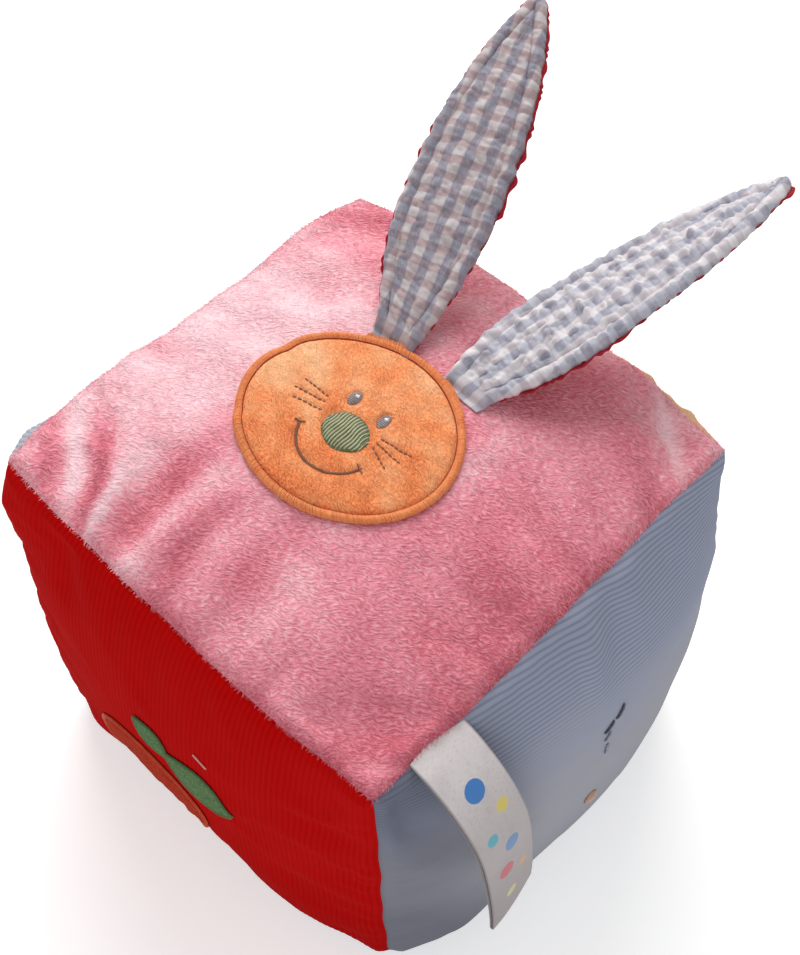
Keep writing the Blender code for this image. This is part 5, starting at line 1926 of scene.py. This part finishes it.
@dataclass
class FoldingEar:
    """A padded ear: puckered gingham in front, red cotton behind, topstitched inside its edge."""

    name: str
    place_share: float
    yaw: float
    root_rise: float
    tip_rise: float
    twist: float
    cloth: Gingham
    red_edge: tuple[tuple[float, float, float], ...]
    surface: PanelSurface
    face: RabbitFace
    sewing: Sewing
    pucker: float = 0.7 * MM
    stagger: float = 0.0
    seed: int = 1
    length: float = 117 * MM
    width: float = 29.8 * MM
    root_width: float = 15.5 * MM
    tip_width: float = 4.5 * MM
    widest_share: float = 0.38
    root_curve: float = 1.9
    tip_curve: float = 2.4
    camber: float = 1.6 * MM
    root_blend: float = 0.30
    twist_blend: float = 0.60
    stack: float = 3.2 * MM
    gap: float = 0.3 * MM
    wadding: Spot = (1.25 * MM, 2.1 * MM)
    root_reach: float = 3.4 * MM
    root_press: float = 1.5 * MM
    topstitch_inset: float = 4.0 * MM
    scallop: float = 0.26 * MM
    rim_height: float = 0.75 * MM
    stitch_sink: float = 0.75 * MM
    rows: int = 250
    columns: int = 56

    def fold_spot(self, end: float = 0.0) -> Spot:
        """The middle of the fold line on the top panel, or one of its ends."""
        across = self.face.offset[0] + self.place_share * self.face.half_size[0] + end * self.root_width / 2
        return across, self.face.offset[1] + self.face.half_size[1] + 0.6 * MM

    def fold_line(self, end: float = 0.0) -> Array:
        """As fold_spot, in space, as high as the top of the ear's stack.

        Args:
            end: 0 for the middle, -1 or 1 for an end.

        Returns:
            The place.
        """
        form = self.surface.form
        across, up = self.fold_spot(end)
        depth = -(self.gap + self.stack) / form.half
        return form.points(form.unit(Side.TOP, across / form.half, up / form.half, depth))

    def half_width(self, share: Array) -> Array:
        """Half the ear's width.

        Args:
            share: shares of its length.

        Returns:
            One half width a share.
        """
        share = np.clip(share, 0, 1)
        widest = self.width / 2
        low = np.clip((self.widest_share - share) / self.widest_share, 0, None)
        high = np.clip((share - self.widest_share) / (1 - self.widest_share), 0, None)
        half = np.where(share < self.widest_share,
                        widest - (widest - self.root_width / 2) * low ** self.root_curve,
                        widest - (widest - self.tip_width / 2) * high ** self.tip_curve)
        rounding = np.clip((share - 0.97) / 0.03, 0, 1)
        return half * domed(rounding, 0.8)

    def spine(self, share: Array) -> tuple[Array, Array, Array]:
        """The ear's middle line, which bends evenly from root to tip.

        Args:
            share: shares of its length.

        Returns:
            Places, and the directions across it and out of its front.
        """
        root, tip = math.radians(self.root_rise), math.radians(self.tip_rise)
        rise = root + (tip - root) * np.clip(share, 0, 1)
        yaw = math.radians(self.yaw)
        outward = np.array([math.sin(yaw), math.cos(yaw), 0.0])
        upright = np.array([0.0, 0.0, 1.0])
        bend = self.length / (tip - root)
        centre = self.fold_line() + outward * (bend * (np.sin(rise) - math.sin(root)))[..., None]
        centre = centre - upright * (bend * (np.cos(rise) - math.cos(root)))[..., None]
        along = outward * np.cos(rise)[..., None] + upright * np.sin(rise)[..., None]
        level = np.array([math.cos(yaw), -math.sin(yaw), 0.0])
        axis = headings(self.fold_line(1) - self.fold_line(-1))
        turn = smooth(share / self.root_blend)[..., None]
        side = headings(axis * (1 - turn) + level * turn)
        front = headings(np.cross(side, along))
        angle = -math.radians(self.twist) * smooth(share / self.twist_blend)[..., None]
        turned_side = side * np.cos(angle) + np.cross(along, side) * np.sin(angle)
        turned_front = front * np.cos(angle) + np.cross(along, front) * np.sin(angle)
        return centre, turned_side, turned_front

    def sewn_down(self, share: Array, t: Array, depth: Array) -> Array:
        """Places on the root, which is pressed down where it goes under the face's border.

        Args:
            share: how far along, below 0.
            t: how far across it, from -1 to 1.
            depth: how far behind its front.

        Returns:
            One real place for each.
        """
        back = -share * self.length
        across, up = self.fold_spot()
        across = across + t * self.root_width / 2 - math.tan(math.radians(self.yaw)) * back
        form = self.surface.form
        press = smooth(back / self.root_press)
        height = (self.gap + self.stack - depth) * (1 - press) + 0.5 * MM * press
        return form.points(form.unit(Side.TOP, across / form.half, (up - back) / form.half, -height / form.half))

    def place(self, share: Array, t: Array, depth: Array, widen: Array | float = 0.0) -> Array:
        """Places in the ear.

        Args:
            share: how far along it, from a little below 0 at its sewn root to 1 at its tip.
            t: how far across it, from -1 to 1.
            depth: how far behind its front.
            widen: how much further out the edge stands.

        Returns:
            One real place for each.
        """
        centre, side, front = self.spine(share)
        half = self.half_width(share) + widen
        camber = self.camber * np.sin(math.pi * np.clip(share, 0, 1))
        away = depth + camber * t * t
        free = centre + side * (half * t)[..., None] - front * away[..., None]
        return np.where((share < 0)[..., None], self.sewn_down(share, t, depth), free)

    def grid(self, columns: int) -> tuple[Array, Array]:
        """Shares along and places across, by row and column."""
        share = np.linspace(-self.root_reach / self.length, 1, self.rows)
        return np.meshgrid(share, np.linspace(-1, 1, columns), indexing="ij")

    def edge_waves(self, share: Array, amount: float) -> Array:
        """The uneven scallops that the topstitching draws along the edge.

        Args:
            share: shares of the ear's length.
            amount: how far they stand out.

        Returns:
            One distance a share.
        """
        run = (share * self.length)[..., None]
        wave = np.sin(run[..., 0] * TURN / (5.2 * MM) + Ripple(17 * MM, 2.0, self.seed + 60).at(run))
        return amount * (0.6 * wave + Ripple(9 * MM, 0.45, self.seed + 70).at(run)) * smooth(share / 0.03)

    def front_relief(self, share: Array, t: Array) -> Array:
        """How the gingham puckers: raised checks, a drawn-down topstitch line and a full rim.

        Args:
            share: shares of the ear's length.
            t: how far across it, from -1 to 1.

        Returns:
            One height a place.
        """
        half = self.half_width(share)
        u, v = half * t, share * self.length
        inset = half * (1 - np.abs(t))
        wide, long = self.cloth.checks
        places = np.stack([u, v], -1)
        u = u + Ripple(9 * MM, 0.9 * MM, self.seed + 90).at(places)
        v = v + Ripple(8 * MM, 0.9 * MM, self.seed + 91).at(places)
        shifted = v + self.stagger * long * (np.floor(u / wide) % 2)
        raised = (0.5 - 0.5 * np.sin(math.pi * u / wide)) * (0.5 - 0.5 * np.sin(math.pi * v / long))
        bricks = (0.5 - 0.5 * np.cos(TURN * u / wide)) * (0.5 - 0.5 * np.sin(math.pi * shifted / long))
        raised = raised * (1 - self.stagger) + bricks * self.stagger
        uneven = 0.8 + Ripple(8 * MM, 0.45, self.seed + 10).at(places)
        relief = self.pucker * raised * uneven + Ripple(2.6 * MM, 0.10 * MM, self.seed + 20).at(places)
        relief += Ripple(13 * MM, 0.28 * MM, self.seed + 80).at(places)
        inside = smooth((inset - self.topstitch_inset) / (1.5 * MM))
        rim = np.clip(inset / self.topstitch_inset, 0, 1)
        pulls = np.sin(v * TURN / (3.9 * MM) + Ripple(15 * MM, 1.8, self.seed + 30).at(v[..., None])
                       + 1.5 * np.sign(t))
        loose = Ripple(5 * MM, 0.22 * MM, self.seed + 92).at(places)
        roll = np.sin(math.pi * rim) * (self.rim_height + 0.18 * MM * pulls + loose)
        relief = relief * (0.35 + 0.65 * inside) + roll * (inset < self.topstitch_inset)
        relief -= self.stitch_sink * bell(inset - self.topstitch_inset, 0.7 * MM)
        return relief * smooth(share / 0.04)

    def edge_drop(self, share: Array, t: Array) -> Array:
        """How far the front turns down to the back at its edge.

        Args:
            share: shares of the ear's length.
            t: how far across it, from -1 to 1.

        Returns:
            One depth a place.
        """
        inset = self.half_width(share) * (1 - np.abs(t))
        near = np.clip(1 - inset / (1.5 * MM), 0, 1)
        return self.stack * 0.5 * (1 - np.sqrt(1 - near ** 2 * 0.999))

    def gingham(self) -> Piece:
        """The front cloth.

        Returns:
            The cloth.
        """
        share, t = self.grid(self.columns)
        depth = self.edge_drop(share, t) - self.front_relief(share, t) + 0.5 * MM
        points = self.place(share, t, depth, self.edge_waves(share, self.scallop))
        uv = np.stack([self.half_width(share) * t, share * self.length], -1)
        cloth = new_piece(f"{self.name}_gingham", points.reshape(-1, 3), grid_quads(*share.shape, True).tolist(),
                          look(self.cloth), uv.reshape(-1, 2))
        thicken(cloth, 0.45 * MM)
        return cloth

    def red_back(self) -> Piece:
        """The back cloth, which shows past the front along parts of the edge.

        Returns:
            The cloth.
        """
        share, t = self.grid(31)
        out = self.edge_waves(share + 0.02, 0.45 * MM)
        for start, end, reach in self.red_edge:
            window = smooth((share - start) / 0.05) * (1 - smooth((share - end) / 0.05))
            out += window * abs(reach) * (np.sign(t) == math.copysign(1, reach))
        inset = self.half_width(share) * (1 - np.abs(t))
        belly = self.stack * (0.5 + 0.5 * domed(1 - np.clip(inset / (4 * MM), 0, 1)))
        puffs = Ripple(6 * MM, 0.22 * MM, self.seed + 5).at(np.stack([t * self.width / 2, share * self.length], -1))
        groove = 0.5 * MM * bell(inset - self.topstitch_inset, 0.8 * MM)
        depth = belly + puffs * smooth(inset / (2 * MM)) - groove - 0.1 * MM
        points = self.place(share, t, depth, out * np.abs(t) ** 8)
        cloth = new_piece(f"{self.name}_red_back", points.reshape(-1, 3), grid_quads(*share.shape, False).tolist(),
                          look(EAR_RED))
        thicken(cloth, 0.5 * MM)
        return cloth

    def padding(self) -> Piece:
        """The thin wadding between the cloths.

        Returns:
            The wadding.
        """
        share, t = np.meshgrid(np.linspace(0.01, 0.985, 60), np.linspace(-0.86, 0.86, 13), indexing="ij")
        sheets = [self.place(share, t, np.full(share.shape, depth)).reshape(-1, 3) for depth in self.wadding]
        rim = grid_rim(*share.shape)
        walls = np.stack([rim, np.roll(rim, -1), np.roll(rim, -1) + share.size, rim + share.size], -1)
        front, back = grid_quads(*share.shape, True), grid_quads(*share.shape, False) + share.size
        pad = new_piece(f"{self.name}_padding", np.concatenate(sheets),
                        np.concatenate([front, back, walls]).tolist(), look(WADDING))
        turn_outwards(pad)
        return pad

    def topstitching(self) -> Piece:
        """The line of stitches inside the edge, up one side and down the other.

        Returns:
            The stitches.
        """
        share = np.linspace(0.005, 0.955, 400)
        half = self.half_width(share)
        inset = np.minimum(self.topstitch_inset, half * 0.72)
        paths = []
        for t in (inset / half - 1, 1 - inset / half):
            depth = self.edge_drop(share, t) - self.front_relief(share, t) + 0.4 * MM
            paths.append(self.place(share, t, depth, self.edge_waves(share, self.scallop)))
        return self.sewing.stitches(f"{self.name}_topstitch", paths, 2.5 * MM, 2.1 * MM, 0.26 * MM, TOPSTITCH)

    def build(self) -> None:
        """Makes the ear."""
        front, back, pad, thread = self.gingham(), self.red_back(), self.padding(), self.topstitching()
        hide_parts(f"{self.name}_front", f"{self.name}_root")
        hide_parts(f"{self.name}_back")
        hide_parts(f"{self.name}_wadding")
        fold = Vector(self.fold_line())
        for piece, slot in ((front, "gingham"), (back, "ear_back_cotton"), (pad, "ear_wadding"),
                            (thread, "gingham")):
            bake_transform(piece)
            log.info("%s: %d faces", piece.name, len(piece.data.polygons))


@dataclass
class RibbonLabel:
    """A folded ribbon, sewn by both ends into the seam between the top and the blue side."""

    form: StuffedForm
    width: float = 20.5 * MM
    place_share: float = -0.668
    length: float = 80 * MM
    bend_share: float = 0.5
    slopes: tuple[float, float, float] = (-24, -78, -88)
    settle: tuple[float, float, float] = (0.9 * MM, -1.0 * MM, -1.4 * MM)
    clearance: float = 1.7 * MM
    wave: float = 0.8 * MM
    curl: float = 0.9 * MM
    tuck: float = 5 * MM
    ply_gap: float = 1.1 * MM
    thickness: float = 0.28 * MM
    steps: int = 90
    columns: int = 25

    def line(self, run: Array) -> tuple[Array, Array]:
        """The middle line, and its direction, at distances from the seam.

        Args:
            run: distances along the ribbon, below 0 where it is tucked into the seam.

        Returns:
            Pairs of distance outwards and upwards from the seam, and the slopes in radians.
        """
        fine = np.linspace(0, self.length, 400)
        slope = np.radians(np.interp(fine / self.length, (0, self.bend_share, 1), self.slopes))
        ways = circle(slope)
        line = np.concatenate([np.zeros((1, 2)), np.cumsum(ways[:-1] * (fine[1] - fine[0]), axis=0)])
        start = ways[0] * self.clearance + np.minimum(run, 0)[:, None] * ways[0]
        run = np.clip(run, 0, self.length)
        spots = np.stack([np.interp(run, fine, line[:, k]) for k in (0, 1)], -1)
        return spots + start, np.interp(run, fine, slope)

    def build(self) -> None:
        """Makes the ribbon and hangs it from the seam."""
        reach = self.length + self.tuck
        fold = self.ply_gap / 2
        down = np.linspace(-self.tuck, self.length - fold, self.steps)
        bend = np.linspace(0, math.pi, 9)[1:-1, None]
        spots, slope = self.line(down)
        left = np.stack([-np.sin(slope), np.cos(slope)], -1)
        root_ease = smooth((down + self.tuck) / (8 * MM))[:, None]
        outer = spots + left * fold * root_ease
        inner = spots - left * fold * root_ease
        turn = spots[-1] + left[-1] * fold * np.cos(bend) + circle(slope[-1]) * fold * np.sin(bend)
        path = np.concatenate([outer, turn, inner[::-1]])
        travelled = run_of(path)
        t = np.linspace(-1, 1, self.columns)
        seam = self.form.points(self.form.unit(Side.TOP, np.ones_like(t),
                                               self.place_share + t * self.width / 2 / self.form.half))
        hang = np.clip(1 - np.abs(travelled - reach) / reach, 0, 1)[:, None]
        wave = self.wave * hang * np.sin(1.3 * t + 0.6) * np.sin(travelled / (19 * MM))[:, None]
        curl = self.curl * hang * t ** 2
        places = np.zeros((len(path), self.columns, 3))
        places[..., 0] = seam[:, 0] + path[:, :1] + wave - curl + self.settle[0] + self.settle[1] * t
        places[..., 1] = seam[:, 1] + 0.5 * MM * hang * np.sin(travelled / (30 * MM))[:, None]
        places[..., 2] = seam[:, 2] + path[:, 1:] + 0.3 * wave + self.settle[2]
        uv = np.stack(np.broadcast_arrays(t * self.width / 2, (travelled - self.tuck)[:, None]), -1)
        faces = grid_quads(len(path), self.columns, True).tolist()
        ribbon = new_piece("ribbon_label", places.reshape(-1, 3), faces, look(RIBBON), uv.reshape(-1, 2))
        thicken(ribbon, self.thickness, 0.0)
        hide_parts("label_ribbon")
        slope = math.radians(self.slopes[0])
        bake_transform(ribbon)
        2 * reach
        log.info("%s: %d faces", ribbon.name, len(ribbon.data.polygons))


@dataclass
class FruitPicture:
    """A plain round fruit and two leaves, sewn on the red side."""

    surface: PanelSurface
    sewing: Sewing
    thickness: float = 0.6 * MM
    fruit_size: Spot = (48 * MM, 46 * MM)
    fruit_share: Spot = (-0.15, -0.33)
    leaf_blunt_share: float = 0.12
    long_leaf: tuple[Spot, Spot, float] = ((0.02, 0.17), (0.36, 0.05), 21 * MM)
    short_leaf: tuple[Spot, Spot, float] = ((-0.16, 0.25), (0.02, 0.15), 14 * MM)
    lint: tuple[Spot, ...] = ((0.19, 0.42), (0.26, 0.39))

    def pad(self, name: str, outline: Array, centre: Array, finish: object, low: float) -> Piece:
        """A low padded shape inside an outline on the panel.

        Args:
            name: the piece's name.
            outline: pairs of distances from the panel's middle.
            centre: its middle.
            finish: its cloth.
            low: how far its edge stands over the panel.

        Returns:
            The pad.
        """
        rings = np.linspace(0, 1, 15)[1:]
        spots = centre + (outline - centre) * rings[:, None, None]
        edge = np.clip((1 - rings) * 6, 0, 1)
        rise = low + self.thickness * domed(1 - edge)
        lumps = Ripple(9 * MM, 0.15 * MM, 77).at(spots) * edge[:, None]
        points = self.surface.over(spots, rise[:, None] + lumps)
        middle = self.surface.at(centre[:1], centre[1:], low + self.thickness)
        piece = new_piece(name, np.concatenate([middle, points.reshape(-1, 3)]),
                          disc_faces(len(rings), len(outline)), look(finish))
        thicken(piece, self.thickness * 0.6)
        return piece

    def satin(self, name: str, outline: Array, finish: object, width: float) -> Piece:
        """Satin stitches over the edge of an outline.

        Args:
            name: the piece's name.
            outline: pairs of distances from the panel's middle.
            finish: their thread.
            width: how wide the row of stitches is.

        Returns:
            The stitches.
        """
        closed = np.concatenate([outline, outline[:1]])
        run = run_of(closed)
        spots = np.linspace(0, run[-1], int(run[-1] / (0.42 * MM)), endpoint=False)
        here = np.stack([np.interp(spots, run, closed[:, k]) for k in (0, 1)], -1)
        ahead = headings(np.roll(here, -1, 0) - np.roll(here, 1, 0))
        side = np.stack([ahead[:, 1], -ahead[:, 0]], -1)
        t = np.linspace(-1, 1, 5)
        rise = 0.1 * MM + (self.thickness + 0.25 * MM) * domed(t, 0.9) * 0.9
        paths = [self.surface.over(spot + np.outer(t, out) * width / 2 + way * 0.15 * MM * t[:, None], rise)
                 for spot, out, way in zip(here, side, ahead)]
        return self.sewing.threads(name, paths, 0.22 * MM, finish, 5)

    def leaf_outline(self, start: Spot, end: Spot, width: float) -> Array:
        """A leaf's outline between its two ends.

        Args:
            start: the end by its stalk, as shares of half the edge.
            end: its point, likewise.
            width: how wide it is.

        Returns:
            Pairs of distances from the panel's middle.
        """
        start, end = (np.array(spot) * self.surface.form.half for spot in (start, end))
        along = headings(end - start)
        side = np.array([-along[1], along[0]])
        t = np.linspace(0, 1, 40)[:, None]
        blunt = self.leaf_blunt_share * width / 2
        wide = side * (blunt + (width / 2 - blunt) * np.sin(math.pi * t))
        middle = start + t * (end - start)
        return np.concatenate([middle + wide, (middle - wide)[::-1]])[::-1]

    def build(self) -> None:
        """Makes the fruit, the leaves with their stitched edges, and a pale stitch beside them."""
        half = self.surface.form.half
        centre = np.array(self.fruit_share) * half
        outline = centre + circle(round_turns(120)) * self.fruit_size / np.array(2)
        dress(self.pad("fruit_pad", outline, centre, FRUIT_CLOTH, 0.2 * MM), "fruit_cloth", "fruit_patch")
        dress(self.satin("fruit_edge", outline, FRUIT_EDGE, 1.2 * MM), "fruit_cloth")
        for name, (start, end, width) in (("long_leaf", self.long_leaf), ("short_leaf", self.short_leaf)):
            outline = self.leaf_outline(start, end, width)
            middle = (np.array(start) + np.array(end)) / 2 * half
            dress(self.pad(f"{name}_pad", outline, middle, LEAF_CLOTH, 0.4 * MM), "leaf_cloth", name)
            dress(self.satin(f"{name}_edge", outline, LEAF_EDGE, 0.7 * MM), "leaf_cloth")
        path = np.linspace(*(np.array(spot) * half for spot in self.lint), 8)
        stitch = [self.surface.over(path, 0.5 * MM)]
        dress(self.sewing.threads("pale_stitch", stitch, 0.3 * MM, LINT_THREAD), "fruit_cloth")


@dataclass
class SprigEmbroidery:
    """A sprig of four stitches and a bud, worked on the blue side."""

    surface: PanelSurface
    sewing: Sewing
    stitch_shares: tuple = (((0.140, 0.370), (0.085, 0.325)), ((0.070, 0.332), (0.010, 0.308)),
                            ((0.045, 0.275), (0.010, 0.245)), ((0.022, 0.200), (0.010, 0.140)))
    bud_size: Spot = (5 * MM, 6 * MM)
    bud_share: Spot = (-0.06, -0.20)
    thread: float = 0.32 * MM
    spacing: float = 0.27 * MM
    thread_lift: float = 0.55 * MM

    def build(self) -> None:
        """Makes each stitch as two laid threads, and the bud as satin stitch."""
        half = self.surface.form.half
        for number, (start, end) in enumerate(self.stitch_shares, 1):
            start, end = np.array(start) * half, np.array(end) * half
            way = headings(end - start)
            line = np.linspace(start, end, 9)
            rise = self.thread_lift * (1 - 0.7 * np.linspace(-1, 1, len(line)) ** 4)
            normal = np.array([way[1], -way[0]])
            paths = [self.surface.over(line + normal * shift, rise) for shift in (-self.spacing, self.spacing)]
            finish = SPRIG_THREAD if number < 3 else SPRIG_FAINT
            dress(self.sewing.threads(f"sprig_thread_{number}", paths, self.thread, finish), "sprig_thread",
                  f"sprig_stitch_{number}")
        paths = satin_oval(self.surface, np.array(self.bud_share) * half, self.bud_size, 9, 0.7 * MM)
        dress(self.sewing.threads("bud_threads", paths, self.thread, BUD_THREAD), "bud_thread", "bud")


@dataclass
class Studio:
    """The camera at the photograph's place, a pale floor and soft light."""

    camera_place: tuple[float, float, float] = (0.20208, -0.20052, 0.61805)
    camera_target: tuple[float, float, float] = (-0.0189, 0.0345, 0.081)
    roll: float = -0.2
    lens: float = 69.1
    key_power: float = 12.6
    key_place: tuple[float, float, float] = (-0.62, 0.60, 0.90)
    fill_power: float = 3.2
    fill_place: tuple[float, float, float] = (0.62, -0.88, 0.6)
    sky: float = 0.46
    floor_shade: float = 0.86
    floor_glow: float = 0.42
    floor_reach: float = 4.0

    def stand(self, name: str, data: bpy.types.ID, place: tuple[float, float, float],
              target: tuple[float, float, float], roll: float = 0.0) -> Piece:
        """Puts a camera or a lamp at its place.

        Args:
            name: its name.
            data: the camera or the lamp.
            place: where it stands.
            target: what it faces.
            roll: how far it is turned about its own axis, in degrees.

        Returns:
            The object.
        """
        made = link(name, data)
        made.location = place
        aim = (Vector(target) - Vector(place)).to_track_quat("-Z", "Y").to_matrix().to_4x4()
        made.rotation_euler = (aim @ Matrix.Rotation(math.radians(roll), 4, "Z")).to_euler()
        return made

    def camera(self) -> None:
        """Makes the camera."""
        data = bpy.data.cameras.new("camera")
        data.lens = self.lens
        data.sensor_width = 36.0
        data.clip_start = 0.01
        data.clip_end = 20.0
        bpy.context.scene.camera = self.stand("camera", data, self.camera_place, self.camera_target, self.roll)

    def lamp(self, name: str, place: tuple[float, float, float], power: float, size: float,
             colour: Colour) -> None:
        """Makes a large soft lamp that faces the block.

        Args:
            name: its name.
            place: where it stands.
            power: its power in watts.
            size: its width.
            colour: its light's colour.
        """
        data = bpy.data.lights.new(name, "AREA")
        data.shape = "DISK"
        data.size = size
        data.energy = power
        data.color = colour
        self.stand(name, data, place, (0.0, 0.0, 0.08))

    def floor(self) -> None:
        """Makes a large pale floor, which shows white to the camera but keeps the shadow."""
        finish = bpy.data.materials.new("pale_floor")
        finish.use_nodes = True
        nodes = finish.node_tree.nodes
        nodes.clear()
        sheet = NodeSheet(finish.node_tree)
        direct = sheet.node("LightPath", pick="Is Camera Ray")
        seen = sheet.math("MAXIMUM", direct, direct.out("Is Glossy Ray"))
        matt = sheet.node("BsdfDiffuse", {"Color": (self.floor_shade,) * 3})
        glow = sheet.node("Emission", {"Color": (1.0, 1.0, 1.0), "Strength": seen * self.floor_glow})
        sheet.feed(nodes.new("ShaderNodeOutputMaterial").inputs[0], sheet.node("AddShader", {0: matt, 1: glow}))
        corners = np.array([(-1, -1, 0), (1, -1, 0), (1, 1, 0), (-1, 1, 0)]) * self.floor_reach
        new_piece("floor", corners, [(0, 1, 2, 3)], finish)

    def world(self) -> None:
        """Sets a plain pale sky, which shows white to the camera."""
        world = bpy.data.worlds.new("sky")
        world.use_nodes = True
        sheet = NodeSheet(world.node_tree)
        back = world.node_tree.nodes["Background"]
        seen = sheet.node("LightPath", pick="Is Camera Ray")
        sheet.feed(back.inputs["Color"], (1.0, 1.0, 1.0))
        strength = sheet.node("MapRange", {"Value": seen, "To Min": self.sky, "To Max": 1.0})
        sheet.feed(back.inputs["Strength"], strength)
        bpy.context.scene.world = world

    def build(self) -> None:
        """Sets the whole studio."""
        self.camera()
        self.lamp("key_lamp", self.key_place, self.key_power, 1.0, (1.0, 0.985, 0.96))
        self.lamp("fill_lamp", self.fill_place, self.fill_power, 1.2, (0.96, 0.98, 1.0))
        self.floor()
        self.world()
        bpy.context.scene.view_settings.view_transform = "Standard"


def main() -> None:
    """Builds the dressed block, piece by piece, and its studio."""
    logging.basicConfig(level=logging.INFO, format="%(message)s")
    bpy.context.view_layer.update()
    sewing = Sewing()
    form = StuffedForm()
    Studio().build()
    block = StuffedBlock(form, sewing)
    block.shape()
    block.build()
    top = block.surfaces[Side.TOP]
    face = RabbitFace(top, sewing)
    face.build()
    left_red = ((0.06, 0.20, -0.7 * MM), (0.34, 0.93, 1.1 * MM))
    right_red = ((0.04, 0.40, 1.1 * MM), (0.93, 1.0, 2.0 * MM))
    FoldingEar("left_ear", face.ear_shares[0], -19, 26, 12, 0, SHADED_LEFT_CHECK, left_red, top, face, sewing).build()
    FoldingEar("right_ear", face.ear_shares[1], 16, 20, 6, 19, LIT_RIGHT_CHECK, right_red, top, face, sewing,
               1.5 * MM, 1.0, 2, 114.5 * MM).build()
    RibbonLabel(form).build()
    FruitPicture(block.surfaces[Side.RED], sewing).build()
    SprigEmbroidery(block.surfaces[Side.BLUE], sewing).build()
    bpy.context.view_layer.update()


if __name__ == "__main__":
    main()
